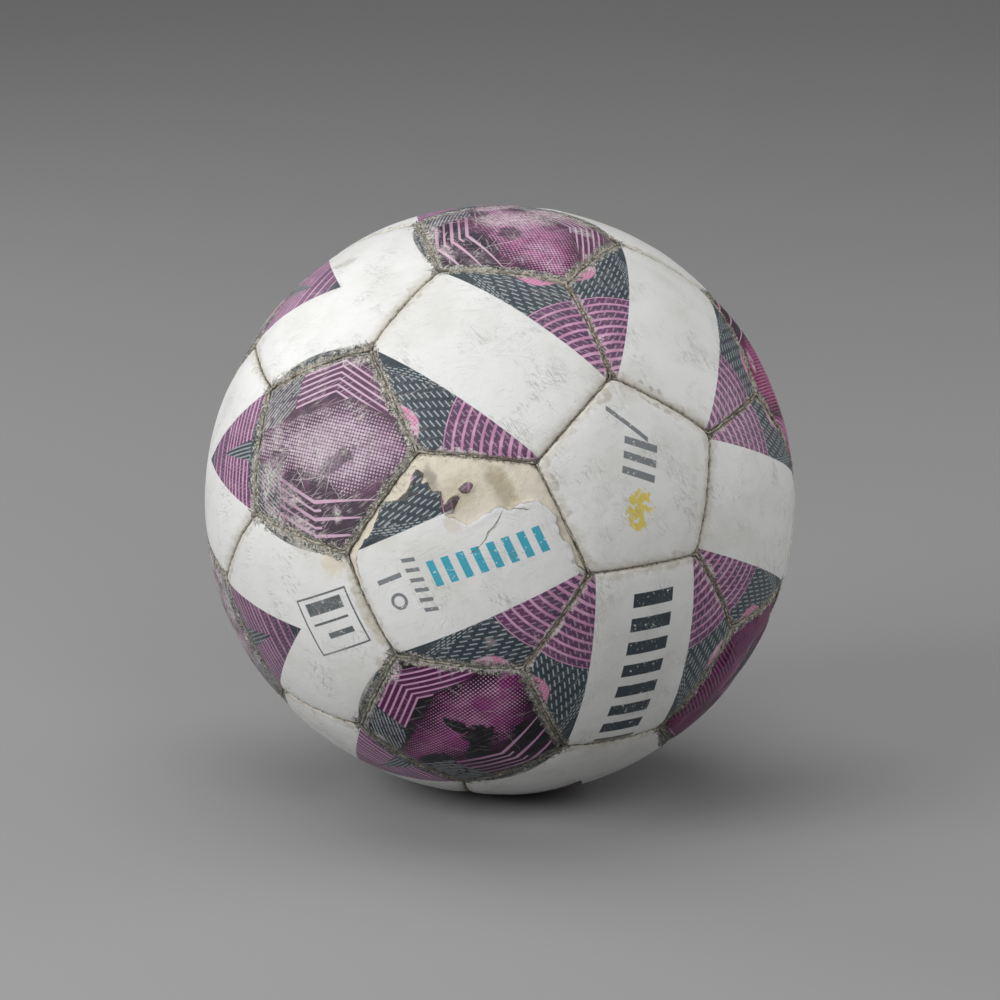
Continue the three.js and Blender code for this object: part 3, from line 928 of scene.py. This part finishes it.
def wear_cover(p, colour, place, white_share, look):
    """Scratches, grime, stained and frayed seams and the torn layer; gives colour, gloss and height."""
    x, seam, fray, tear, along, inked = place
    worn = look["worn"]
    print_share = 1.0 - white_share
    coarse = p.noise(9, 3.0, 1.0)
    fine = p.noise(1.0, 2.0, 2.0)
    speck = p.noise(0.7, 2.0, 12.0, 0.7)
    ragged = p.noise(2.6, 3.0, 9.0)
    rough = (ragged - 0.5) * 1.5
    # rubbed print, scratches and cracks
    long_marks = p.streaks((20, 35, 10), 16, 0.34, 1.0).ramp(0.64, 0.72)
    cross_marks = p.streaks((70, -20, 60), 12, 0.3, 2.0).ramp(0.65, 0.73)
    scratches = long_marks.upper(cross_marks) * coarse.ramp(0.42 - worn * 0.2, 0.6 - worn * 0.2)
    scuffs = p.streaks((-40, 15, -70), 4.5, 0.26, 5.0).ramp(0.58, 0.66)
    scuffs = scuffs * p.noise(8, 3.0, 53.0).ramp(0.46, 0.6) * print_share * worn
    scratches = scratches.upper(scuffs * 1.4)
    rubbed = p.noise(13, 4.0, 5.0, 0.65).ramp(0.64 - worn * 0.2, 0.8 - worn * 0.16)
    rubbed = rubbed * fine.ramp(0.3, 0.7) * worn * 0.8
    for spec in look["rubs"]:
        rubbed = rubbed.upper(p.patch(spec[:5], rough, 0.7) * fine.ramp(0.32, 0.62) * spec[5])
    print_chips = (seam + (p.noise(2.8, 4.0, 24.0, 0.6) - 0.5) * 10.0).ramp(1.7, 1.1) * fine.ramp(0.3, 0.5)
    rubbed = rubbed.upper(print_chips * 0.8)
    for spec in look["strokes"]:
        scratches = scratches.upper(p.stroke(spec))
    bared = p.mix(RUBBED_PRINT, CHIP, ragged.ramp(0.45, 0.6))
    colour = p.mix(colour, bared, (scratches * (0.2 + worn * 0.7)).upper(rubbed) * print_share)
    cracks = p.streaks((-30, 50, 100), 3.8, 0.24, 3.0).ramp(0.62, 0.69)
    cracks = cracks.upper(p.streaks((50, 10, -35), 3.0, 0.22, 4.0).ramp(0.63, 0.7))
    cracks = cracks * p.noise(15, 3.0, 6.0).ramp(0.46, 0.66)
    colour = p.mix(colour, ink("a5a39b"), cracks * white_share * 0.6)
    # broad grime and smudges
    plain_white = white_share * (1.0 - inked)
    colour = p.mix(colour, WHITE_SHADE, p.noise(26, 5.0, 8.0, 0.6).ramp(0.42, 0.75) * 0.7 * plain_white)
    smudge = p.noise(6, 4.0, 25.0, 0.6).ramp(0.62, 0.76) * p.noise(30, 1.0, 26.0).ramp(0.45, 0.6)
    colour = p.mix(colour, ink("b9b5aa"), smudge * plain_white * 0.3)
    for spec in look["stains"]:
        colour = p.mix(colour, spec[-1], p.patch(spec[:5], rough, 0.7) * spec[5])
    # stained seams, with a row of blotches beside them where thread runs underneath
    halo = (seam + (ragged - 0.5) * 5.0).ramp(4.2, 1.0)
    colour = p.mix(colour, HALO, halo * white_share * 0.55)
    blot = (seam + (p.noise(5.0, 2.0, 10.0) - 0.5) * 14.0).ramp(2.2, 0.6)
    colour = p.mix(colour, TAN, blot * white_share * ragged.ramp(0.4, 0.62) * 0.5)
    u = ((along / BLOTCH_PITCH).fract() - 0.5) * BLOTCH_PITCH
    row = (hypot(u * 0.8, (seam - 2.9) * 1.3) + (ragged - 0.5) * 5.0).ramp(1.3, 0.8)
    row = row * p.noise(19, 1.0, 27.0).ramp(0.54, 0.62)
    colour = p.mix(colour, ink("aaa595"), row * white_share * 0.6)
    # frayed seams
    edge = fray + (p.noise(2.4, 4.0, 11.0, 0.7) - 0.5) * 7.0
    frayed = edge.ramp(2.9, 2.1)
    stubble = p.mix(STUBBLE_DARK, STUBBLE_PALE, speck.ramp(0.44, 0.56))
    stubble = p.mix(stubble, STUBBLE_DARK, p.noise(2.2, 3.0, 28.0).ramp(0.52, 0.62) * 0.65)
    stubble = p.mix(stubble, HALO, p.noise(6.0, 2.0, 13.0).ramp(0.54, 0.7) * 0.6)
    stubble = p.mix(stubble, CHIP, p.noise(1.4, 2.0, 14.0).ramp(0.6, 0.66))
    # painted shade: the stubble of the frayed seams darkens towards the floor
    stubble = p.mix(stubble, STUBBLE_DARK, p.painted_shade_below() * 0.6)
    tufts = p.noise(1.7, 3.0, 52.0, 0.7).ramp(0.4, 0.52)
    colour = p.mix(colour, stubble, frayed * (0.25 + tufts * 0.75))
    # dirt and thread down in the groove
    stitches = abs(((along + ragged * 1.2) / (STITCH / 2)).fract() - 0.5).ramp(0.3, 0.14)
    dark_bits = speck.ramp(0.54, 0.66).upper(stitches * 0.55)
    light_dirt = p.mix(ink("bfb9aa"), ink("6f695d"), dark_bits)
    dark_dirt = p.mix(ink("9a8f80"), ink("4f463d"), speck.ramp(0.42, 0.6))
    groove_ink = p.mix(dark_dirt, STUBBLE_PALE, fray.below(2.0))
    groove_ink = p.mix(groove_ink, light_dirt, white_share * fray.above(3.0))
    width = 0.6 + print_share * 0.6
    groove = (seam + (p.noise(1.5, 2.0, 29.0) - 0.5) * 1.5 - width).ramp(0.25, -0.35) * coarse.ramp(0.2, 0.5)
    colour = p.mix(colour, groove_ink, groove * (1.0 - frayed * 0.5) * 0.85)

    pebbles = p.cells(0.9).ramp(0.0, 0.16)
    height = pebbles * 0.024 - scratches * 0.06 - cracks * 0.1 + (coarse - 0.5) * 0.3
    height = height + frayed * ((speck - 0.5) * 0.8 + (p.noise(1.5, 2.0, 15.0) - 0.5) * 0.7)
    height = height + halo * (ragged - 0.5) * 0.2 + (p.noise(3.0, 3.0, 30.0) - 0.5) * 0.14
    gloss = 0.44 + frayed * 0.45 + (fine - 0.5) * 0.12 + rubbed * 0.2 + groove * 0.35
    if look["torn"]:
        bare = tear.above(0.0, 0.2)
        backing = p.mix(CREAM, TAN, p.noise(12, 3.0, 16.0).ramp(0.5, 0.72) * 0.5)
        backing = p.mix(backing, HALO, p.noise(2.2, 3.0, 17.0).ramp(0.4, 0.7) * 0.4)
        for spec in look["backing_stains"]:
            backing = p.mix(backing, spec[-1], p.patch(spec[:5], rough, 0.9) * spec[5])
        # a dark line along the torn edge of the cover: painted shade at its step, in dirt and soot colours
        lip = (abs(tear + 0.1) + (fine - 0.5) * 0.5).below(0.35, 0.4)
        colour = p.mix(colour, backing, bare)
        shade = p.noise(5.0, 2.0, 18.0).ramp(0.42, 0.6) * (1.0 - abs(x).below(BAND_HALF - 3.0, 3.0) * 0.6)
        colour = p.mix(colour, p.mix(DIRT, SOOT, speck.ramp(0.4, 0.6)), lip * shade * 0.85)
        for spec in look["cracks"]:
            crack = p.stroke(spec)
            colour = p.mix(colour, ink("a89e8a"), crack * 0.8)
            height = height - crack * 0.6
        colour = p.mix(colour, light_dirt, groove * bare * 0.85)
        height = height * (1.0 - bare) + bare * ((p.noise(0.6, 2.0, 19.0) - 0.5) * 0.16 - 0.3)
        height = height + bare * (p.noise(4.0, 3.0, 32.0) - 0.5) * 0.5
        gloss = gloss + bare * 0.3
    return colour, gloss, height


PLAIN_LOOK = {
    "worn": 0.25, "torn": False, "stamped": False, "emblem": False, "combed": False, "shaded": 0.0,
    "marks": [], "ring": None, "rubs": [], "strokes": [], "stains": [], "backing_stains": [], "cracks": [],
}


def cover_material(name, kind, **changes):
    look = {**PLAIN_LOOK, **changes}
    p = Paint(name)
    x, y, seam = p.parts("spot")
    fray, tear, along = p.parts("trim")
    p.lay_flat(x, y)
    if kind == "banded":
        colour = banded_print(p, x, y)
        white_share = abs(x).below(BAND_HALF)
    elif kind == "waist":
        colour = edge_strip(p, waist_print(p, x, y, look["shaded"]), along, fray)
        white_share = beside_wedge(x, y).above(0.0) * fray.above(3.0)
    elif kind == "printed":
        colour = pentagon_print(p, x, y, look)
        if look["combed"]:
            colour = combed_edge(p, colour, seam, along)
        white_share = x * 0.0
    else:
        colour = p.mix(WHITE, WHITE_SHADE, p.noise(8, 2.0, 33.0).ramp(0.5, 0.7) * 0.3)
        white_share = x * 0.0 + 1.0
    rubbed_ink = p.noise(1.3, 3.0, 20.0).ramp(0.72, 0.62)
    inked = x * 0.0
    for mark in look["marks"]:
        bars = mark_bars(x, y, mark)
        inked = inked.upper(bars)
        colour = p.mix(colour, mark[-1], bars * rubbed_ink)
    if look["ring"]:
        colour = p.mix(colour, GREY_MARK, mark_ring(x, y, look["ring"]) * rubbed_ink)
    if look["emblem"]:
        spot = p.patch(EMBLEM_SPOT, (p.noise(1.2, 3.0, 34.0) - 0.5) * 1.6) * rubbed_ink
        colour = p.mix(colour, AMBER, spot * p.noise(3.0, 3.0, 54.0, 0.6).ramp(0.4, 0.47) * 0.9)
    if look["stamped"]:
        colour = box_outline(p, colour, x, y)
    place = (x, seam, fray, tear, along, inked)
    colour, gloss, height = wear_cover(p, colour, place, white_share, look)
    return p.finish(colour, gloss, height, specular=0.25 if kind == "printed" else 0.4, sheen=0.05)


# ---------------------------------------------------------------- how each panel differs
# Inks of a printed pentagon, and: broken, how much its print is worn through; dark, how strong its dark
# areas are; dot, the size of its dots; worn, how scratched it is.
# blots and stains: middle x, y, half width, half height, turn, then a stain's strength and ink.
# rubs: the same with a strength. strokes and cracks: from x, y to x, y, width. All in millimetres.
FADED = {
    "base": ink("54424f"), "rich": ink("6a4462"), "night": ink("3d3740"), "dots": ink("cfbfca"),
    "bright": ink("c79fbd"), "lines": ink("cfabc4"), "hatch": ink("464b51"), "hatch_line": ink("aeb1b3"),
    "broken": 0.6, "dark": 0.7, "dot": 0.5, "worn": 0.6,
}
STRONG = {
    "base": ink("1d0b1c"), "rich": ink("521848"), "night": ink("14151b"), "dots": ink("b65a9e"),
    "bright": ink("d79cc3"), "lines": ink("c795ba"), "hatch": ink("1f272d"), "hatch_line": ink("9aa6a9"),
    "broken": 0.25, "dark": 1.0, "dot": 0.42, "worn": 0.12,
}
BLOTS = [(7, 4, 6, 6.5, 10), (12, -4, 4, 8, 15), (-2, 3, 5.5, 3, 0), (5, -22, 4, 7.5, -8)]

LEFT_PRINTED = {
    **FADED,
    "blots": [
        (5, 9, 3, 9, 35), (14, 3, 3, 8, -20), (11, -9, 3.5, 6, 10), (-18, -8, 2.5, 6, 20), (3, -19, 4, 6, 10),
    ],
    "rubs": [
        (2, 0, 9, 9, 0, 0.35), (24, 10, 3.2, 1.8, 10, 0.8), (27.5, -7, 2.6, 7, -20, 0.8),
        (24, -20, 2.4, 6, -30, 0.8), (-1, -29, 2.2, 1.4, 0, 0.8), (-10, -28.6, 2.4, 1.3, 0, 0.8),
        (19, -9, 1.6, 3, 0, 0.8), (-33, 10, 2, 4, 20, 0.8), (12, -25, 8, 3, 0, 0.8),
        (-30, -9, 2, 8, 12, 0.8), (10, -20, 7, 5, 0, 0.6), (18, -13, 5, 5, 0, 0.5), (-5, -21, 6, 3, 0, 0.6),
    ],
    "strokes": [
        (-4, 8, 19, 5, 0.5), (4, 6, 15, 1, 0.4), (2, -4, 0, -26, 0.5), (10, 8, 12, -14, 0.4),
        (-8, -2, 12, 3, 0.4), (6, 2, 19, 12, 0.4), (-14, -8, 8, -10, 0.35), (5, -10, 16, -4, 0.45),
        (-10, 5, -4, -12, 0.35), (12, -14, 22, -2, 0.4),
    ],
}
TOP_PRINTED = {
    **FADED,
    "base": ink("432b40"), "rich": ink("6f375c"), "dots": ink("dcacd0"), "bright": ink("cf78ae"),
    "night": ink("2b2631"), "hatch": ink("50565c"),
    "blots": [(5, 6, 5, 5, 20), (17, 8, 4, 9, 0), (5, -20, 4, 8, 0), (22, -8, 4, 7, 0)],
    "rubs": [
        (-8, -4, 12, 7, 0, 0.8), (-20, -10, 9, 7, 0, 0.8), (4, -8, 6, 7, 0, 0.8), (27, -14, 3, 8, -20, 0.8),
        (-24, 8, 4, 4, 0, 0.8), (-30, -4, 4, 6, 0, 0.8), (30, 4, 2, 6, -10, 0.8), (-4, -24, 8, 4, 0, 0.8),
    ],
    "strokes": [
        (3, 12, 24, 11, 0.5), (-18, 2, 6, 6, 0.4), (-14, -6, 10, -2, 0.4), (-10, 6, -16, -14, 0.4),
        (0, 0, -4, -22, 0.5), (-22, -12, 4, -16, 0.4), (8, 4, 12, -18, 0.4), (-26, 4, -8, 10, 0.35),
        (-6, 10, 10, -10, 0.4), (14, -2, 4, -24, 0.4),
    ],
}
LOWER_PRINTED = {
    **STRONG,
    "blots": BLOTS + [(17, 16, 3, 5, 0), (26, 10, 3, 7, 0), (-17, 0, 2.4, 8, 18), (-13, -14, 2.6, 6, 20)],
    "rubs": [(-16, -29, 3, 1.6, 0, 0.8), (-33, 6, 2, 5, 20, 0.8)],
    "strokes": [(8, 14, 26, 4, 0.3), (12, -20, 24, -8, 0.35)],
}
RIGHT_PRINTED = {
    **STRONG,
    "bright": ink("dd6ca6"), "rich": ink("9c3070"), "dots": ink("c25a96"), "worn": 0.3,
    "blots": [(8, -4, 5, 6, 10), (-20, -12, 3, 8, 10)],
    "rubs": [(10, 26, 5, 2, -40, 0.8), (0, -27, 8, 2, 0, 0.8)],
    "strokes": [(-6, 14, 14, 2, 0.35)],
}
# Partly painted shade: deeper inks for the pentagon low on the right as the camera sees it, on top of its own
# dark print and combed edge.
SHADED_PRINTED = {
    **STRONG,
    "blots": BLOTS, "rich": ink("4a1039"), "dots": ink("a03c7e"), "worn": 0.06, "combed": True,
}
PRINTED_LOOKS = [LEFT_PRINTED, LOWER_PRINTED, SHADED_PRINTED, RIGHT_PRINTED, TOP_PRINTED]

TORN_LOOK = {
    "torn": True,
    "marks": TORN_MARKS,
    "ring": TORN_RING,
    "stains": [
        (-39, -2, 3, 2.2, 0, 0.9, STUBBLE_DARK), (-33, -9, 2.4, 4, 15, 0.85, STUBBLE_DARK),
        (-23, 6, 3.2, 4.4, 35, 0.75, SOOT), (-25.4, 12.8, 2.4, 3, 0, 0.5, DIRT),
        (-16, 3, 4, 3, 0, 0.5, ink("cfc6b4")),
    ],
    "backing_stains": [
        (-21, 24, 8, 3.6, 8, 0.75, ink("a79b80")), (-23, 9, 6, 8, 20, 0.55, ink("b3a68e")),
        (-33, 2, 5, 2.4, 0, 0.6, DIRT), (-30, 30, 5, 3, 40, 0.35, ink("b9ad94")),
        (-14, 34, 4, 4, 0, 0.5, ink("dcd6ca")), (-17, 12, 3, 9, 0, 0.5, ink("ddd7ca")),
    ],
    "cracks": [(-12, 21, -4.5, 8.5, 0.7), (-4.5, 8.5, -3.6, 4.0, 0.4), (-9, 30, -12, 24, 0.4)],
}
STAMPED_LOOK = {
    # the wedge is darkened as painted shade
    "stamped": True, "shaded": 0.3,
    "stains": [
        (23, -35, 9, 5.5, -35, 0.95, CREAM), (-24, -33, 5, 3, 30, 0.5, ink("b9b09b")),
        (-3, -37.5, 14, 2.2, 0, 0.7, HALO), (28, -22, 3, 6, -20, 0.5, HALO),
    ],
}
DIRTY_LOOK = {
    "stains": [(13, 5, 2.6, 3.6, 20, 0.45, ink("a49d8e")), (11, 9, 1.6, 2.4, 0, 0.35, ink("a49d8e"))]
}
EMBLEM_LOOK = {
    "marks": EMBLEM_MARKS, "emblem": True,
    "stains": [
        (-33, 0, 1.8, 8, 12, 0.6, HALO), (33, -10, 1.8, 7, -12, 0.6, HALO),
        (29, 14, 3, 1.6, 30, 0.7, ink("aca694")), (34, 4, 2, 1.6, 0, 0.7, ink("aca694")),
    ],
}


# ---------------------------------------------------------------- pieces
white, printed, banded, waist = all_panels()


def add_panel(panel, material, torn=False, holed=False):
    piece = add_piece(panel.name + "_cover", panel_mesh(panel, torn, holed), material)
    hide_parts(panel.name)
    return piece


def add_panels():
    add_panel(white[0], cover_material("white_marked", "white", **EMBLEM_LOOK))
    add_panel(white[1], cover_material("white_plain", "white"), holed=True)
    print_materials = [
        cover_material(f"printed_{k + 1}", "printed", **look) for k, look in enumerate(PRINTED_LOOKS)
    ]
    for k, panel in enumerate(printed):
        add_panel(panel, print_materials[k % 5])

    plain_banded = cover_material("banded_plain", "banded")
    special_banded = {
        "hexagon_front_1": cover_material("banded_torn", "banded", **TORN_LOOK),
        "hexagon_front_2": cover_material("banded_barred", "banded", marks=BARRED_MARKS),
    }
    for panel in banded:
        material = special_banded.get(panel.name, plain_banded)
        add_panel(panel, material, torn=panel.name == "hexagon_front_1")

    plain_waist = cover_material("waist_plain", "waist")
    special_waist = {
        "hexagon_waist_front_1": cover_material("waist_stamped", "waist", **STAMPED_LOOK),
        # this wedge is darkened as painted shade
        "hexagon_waist_front_2": cover_material("waist_barred", "waist", marks=WAIST_MARKS, shaded=0.55),
        "hexagon_waist_front_5": cover_material("waist_dirty", "waist", **DIRTY_LOOK),
    }
    for panel in waist:
        add_panel(panel, special_waist.get(panel.name, plain_waist))


def seams():
    """Every seam as two corner directions and its state: frayed at a printed pentagon, worn or calm."""
    found = []
    for p in pentagons:
        around = [corner(p, o) for o in neighbours(p)]
        helper = unit(np.cross(p.centre, [0.3, 0.5, 0.8]))
        other = np.cross(p.centre, helper)
        around.sort(key=lambda c: math.atan2(c @ other, c @ helper))
        for k in range(5):
            found.append((around[k], around[(k + 1) % 5], "frayed" if p.printed else "calm"))
        for o in neighbours(p):
            if pentagons.index(o) > pentagons.index(p):
                found.append((corner(p, o), corner(o, p), "calm" if p.printed and o.printed else "worn"))
    return found


def along_seam(a, b):
    """A seam's length, the direction that it starts in and the direction across it."""
    return math.acos(a @ b) * RADIUS, unit(b - a * (a @ b)), unit(np.cross(a, b))


def walk(a, ahead, distance):
    """Directions of the points at these distances along a seam that starts at a."""
    angle = distance / RADIUS
    return a[None, :] * np.cos(angle)[:, None] + ahead * np.sin(angle)[:, None]


THREAD_RADIUS = 0.31
# depth of the thread's middle below the cover, how thick it has frayed, and how far its stitches swing
THREAD_FORM = {"frayed": (1.2, 1.8, 0.4), "worn": (1.25, 1.3, 0.8), "calm": (1.5, 0.9, 1.0)}
THREAD_SIDES = 6
THREAD_STEP = 0.65
THREAD_SWAY = 0.2  # how far a stitch rises and strays sideways


def thread_mesh():
    """A stitched strand in each groove: it rises between two stitches and dips at each hole."""
    vertices, triangles = [], []
    total = 0
    k = np.arange(THREAD_SIDES)
    n = (k + 1) % THREAD_SIDES
    turn = k * 2 * math.pi / THREAD_SIDES
    for index, (a, b, state) in enumerate(seams()):
        length, ahead, across = along_seam(a, b)
        count = int(length / THREAD_STEP)
        s = np.linspace(0, length, count + 1)
        way = walk(a, ahead, s)
        middle = s - length / 2
        lift = THREAD_SWAY * np.cos(2 * math.pi * middle / STITCH)
        sway = THREAD_SWAY * np.sin(math.pi * middle / STITCH + index)
        sunk, thickness, swing = THREAD_FORM[state]
        level = np.minimum(RADIUS, surface_limit(way)) - sunk + lift * swing
        core = way * level[:, None] + across * sway[:, None]
        radius = THREAD_RADIUS * thickness * (1 + 0.35 * lumps(core, 1.6, 31))
        ring = (
            core[:, None, :]
            + (radius[:, None] * np.cos(turn))[:, :, None] * across
            + (radius[:, None] * np.sin(turn))[:, :, None] * way[:, None, :]
        )
        here = (np.arange(count)[:, None] * THREAD_SIDES + k[None, :]).ravel() + total
        beside = (np.arange(count)[:, None] * THREAD_SIDES + n[None, :]).ravel() + total
        last = total + count * THREAD_SIDES
        start_cap = last + THREAD_SIDES
        triangles.append(np.stack([here, beside, beside + THREAD_SIDES], 1))
        triangles.append(np.stack([here, beside + THREAD_SIDES, here + THREAD_SIDES], 1))
        triangles.append(np.stack([total + n, total + k, np.full(THREAD_SIDES, start_cap)], 1))
        triangles.append(np.stack([last + k, last + n, np.full(THREAD_SIDES, start_cap + 1)], 1))
        vertices += [ring.reshape(-1, 3), core[[0, -1]]]
        total = start_cap + 2
    return make_mesh("seam_stitching", np.vstack(vertices), np.vstack(triangles))


FIBRE_SIDES = 3
FIBRE_JOINTS = 3
FIBRE_RADIUS = 0.085
FIBRE_ROOT = 0.35  # how far below the cover a fibre starts


def fibre_mesh(name, chosen, per_mm, spread, longest, seed):
    """Broken fibres that stand out of the seams: thin closed spikes that lie down along the cover."""
    rng = np.random.default_rng(seed)
    vertices, triangles = [], []
    for a, b, _ in chosen:
        length, ahead, across = along_seam(a, b)
        count = int(length * per_mm)
        s = rng.uniform(0, length, count)
        offset = rng.normal(0, spread, count)
        heading = rng.uniform(0, 2 * math.pi, count)
        reach = rng.uniform(0.25, 1.0, count) ** 1.5 * longest
        rise = rng.uniform(0.1, 0.75, count)
        bend = rng.uniform(-0.9, 0.9, count)
        stations = []
        here_s, here_o, lift = s, offset, np.full(count, -FIBRE_ROOT)
        for joint in range(FIBRE_JOINTS + 1):
            way = unit(walk(a, ahead, here_s) + across[None, :] * (here_o / RADIUS)[:, None])
            drop = seam_profile(np.abs(here_o) + 0.2, here_s - length / 2, way * RADIUS)
            level = np.minimum(RADIUS - drop * 0.85 + lift, surface_limit(way) - 0.12)
            stations.append(way * level[:, None])
            step = reach / FIBRE_JOINTS
            here_s = here_s + np.cos(heading) * step
            here_o = here_o + np.sin(heading) * step
            heading = heading + bend
            lift = lift + step * rise * (1 - 0.55 * joint)
        normal = unit(stations[0])
        for joint in range(FIBRE_JOINTS):
            forward = unit(stations[joint + 1] - stations[joint])
            side = unit(np.cross(forward, normal))
            top = np.cross(side, forward)
            radius = FIBRE_RADIUS * (1 - joint / (FIBRE_JOINTS + 0.4))
            for corner_index in range(FIBRE_SIDES):
                turn = 2 * math.pi * corner_index / FIBRE_SIDES
                stations.append(stations[joint] + radius * (side * math.cos(turn) + top * math.sin(turn)))
        rings = stations[FIBRE_JOINTS + 1 :] + [stations[FIBRE_JOINTS]]
        block = np.stack(rings, 1)
        start = sum(len(v) for v in vertices)
        base = start + np.arange(count)[:, None] * block.shape[1]
        faces = [(0, 1, 2)]
        for joint in range(FIBRE_JOINTS - 1):
            for c in range(FIBRE_SIDES):
                d = (c + 1) % FIBRE_SIDES
                low, high = joint * FIBRE_SIDES, (joint + 1) * FIBRE_SIDES
                faces += [(low + d, low + c, high + c), (low + d, high + c, high + d)]
        tip = FIBRE_JOINTS * FIBRE_SIDES
        low = tip - FIBRE_SIDES
        faces += [(low + (c + 1) % FIBRE_SIDES, low + c, tip) for c in range(FIBRE_SIDES)]
        triangles.append((base[:, :, None] + np.array(faces)[None, :, :]).reshape(-1, 3))
        vertices.append(block.reshape(-1, 3))
    return make_mesh(name, np.vstack(vertices), np.vstack(triangles))


def fibre_material(name, dark, pale, size):
    p = Paint(name)
    tone = p.noise(size, 3.0, 21.0)
    colour = p.mix(dark, pale, (tone + p.noise(16.0, 1.0, 23.0) * 0.5 - 0.25).ramp(0.4, 0.6))
    # painted shade: the fibres and thread darken towards the floor
    colour = p.mix(colour, STUBBLE_DARK, p.painted_shade_below() * 0.6)
    twist = p.streaks((40, 10, 70), 1.4, 0.25, 4.0)
    return p.finish(colour, 0.92 - tone * 0.05, twist * 0.12, specular=0.2)


def add_thread():
    thread = add_piece(
        "seam_stitching", thread_mesh(), fibre_material("thread", ink("6a655c"), ink("b5afa1"), 1.1)
    )
    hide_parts("seam_thread")
    # two inks, fibres in a millimetre of seam, spread across it, longest fibre and seed
    fringes = {
        "frayed": (STUBBLE_DARK, ink("9f9c91"), 3.0, 1.7, 2.6, 7),
        "worn": (SOOT, ink("8f8575"), 3.8, 1.05, 2.1, 9),
        "calm": (DIRT, STUBBLE_PALE, 1.6, 0.5, 1.4, 8),
    }
    for state, (dark, pale, per_mm, spread, longest, seed) in fringes.items():
        name = "fibres_" + state
        chosen = [s for s in seams() if s[2] == state]
        mesh = fibre_mesh(name, chosen, per_mm, spread, longest, seed)
        add_piece(name, mesh, fibre_material(name, dark, pale, 1.6))


def rubber_material(name, code):
    p = Paint(name)
    tone = p.noise(7.0, 4.0, 22.0)
    colour = p.mix(ink(code), TAN, tone.ramp(0.5, 0.8) * 0.35)
    return p.finish(colour, 0.55 + tone * 0.25, p.noise(0.8, 2.0, 23.0) * 0.05)


def dress_frame():
    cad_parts["bladder"].data.materials[0] = rubber_material("bladder_rubber", "2b2726")
    valve = rubber_material("valve_rubber", "8f8a7b")
    for node in ("valve_housing", "valve_insert"):
        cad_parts[node].data.materials[0] = valve


# ---------------------------------------------------------------- stage
CAMERA_DISTANCE = 18.8  # in ball radii
CAMERA_ELEVATION = 13.0
LENS = 199.6
FLOOR_HALF = 8.0  # metres, like all of the stage
BACKDROP_PLACE, BACKDROP_TOP, BACKDROP_BEND = 3.4, 3.0, 0.6
BEND_STEPS = 12
LIGHTS = [  # name, place, size and power
    ("key", (-1.1, -0.75, 0.75), 1.0, 14),
    ("top", (-0.1, 0.5, 3.2), 3.2, 42),
    ("front", (0.35, -1.3, 1.15), 0.9, 6.6),
    ("rim", (1.3, 0.35, 0.5), 0.7, 4.5),
    ("rim_left", (-1.1, 0.9, 0.8), 0.9, 5.5),
]
WORLD_GREY, WORLD_STRENGTH = (0.5, 0.5, 0.5, 1), 0.35


def add_stage():
    """A pale floor that bends up into a backdrop behind the ball."""
    profile = [(-FLOOR_HALF, 0.0), (BACKDROP_PLACE - BACKDROP_BEND, 0.0)]
    for k in range(1, BEND_STEPS + 1):
        turn = math.pi / 2 * k / BEND_STEPS
        y = BACKDROP_PLACE - BACKDROP_BEND + BACKDROP_BEND * math.sin(turn)
        profile.append((y, BACKDROP_BEND - BACKDROP_BEND * math.cos(turn)))
    profile.append((BACKDROP_PLACE, BACKDROP_TOP))
    vertices = [(side * FLOOR_HALF, y, z) for y, z in profile for side in (-1, 1)]
    faces = [(2 * k, 2 * k + 1, 2 * k + 3, 2 * k + 2) for k in range(len(profile) - 1)]
    floor_mesh = bpy.data.meshes.new("studio_floor")
    floor_mesh.from_pydata(vertices, [], faces)
    floor_mesh.shade_smooth()
    floor = add_object("studio_floor", floor_mesh)
    paper = bpy.data.materials.new("studio_paper")
    paper.use_nodes = True
    shader = paper.node_tree.nodes["Principled BSDF"]
    shader.inputs["Base Color"].default_value = ink("8f8f8f")
    shader.inputs["Roughness"].default_value = 0.8
    floor_mesh.materials.append(paper)


def facing(direction):
    """The rotation that points a light or a camera in a direction."""
    return direction.to_track_quat("-Z", "Y").to_euler()


def add_lights():
    for name, place, size, power in LIGHTS:
        data = bpy.data.lights.new(name, "AREA")
        data.shape = "DISK"
        data.size = size
        data.energy = power
        light = add_object(name, data)
        light.location = place
        light.rotation_euler = facing(CENTRE - Vector(place))
        light.visible_camera = False
    world = bpy.data.worlds.new("studio")
    bpy.context.scene.world = world
    world.use_nodes = True
    background = world.node_tree.nodes["Background"]
    background.inputs["Color"].default_value = WORLD_GREY
    background.inputs["Strength"].default_value = WORLD_STRENGTH


def add_camera():
    data = bpy.data.cameras.new("camera")
    data.lens = LENS
    data.clip_end = 50
    camera = add_object("camera", data)
    elevation = math.radians(CAMERA_ELEVATION)
    away = Vector((0, -math.cos(elevation), math.sin(elevation)))
    camera.location = CENTRE + away * (CAMERA_DISTANCE * RADIUS * MM)
    camera.rotation_euler = facing(-away)
    bpy.context.scene.camera = camera


add_panels()
add_thread()
dress_frame()
add_stage()
add_lights()
add_camera()
bpy.context.scene.view_settings.view_transform = "Standard"
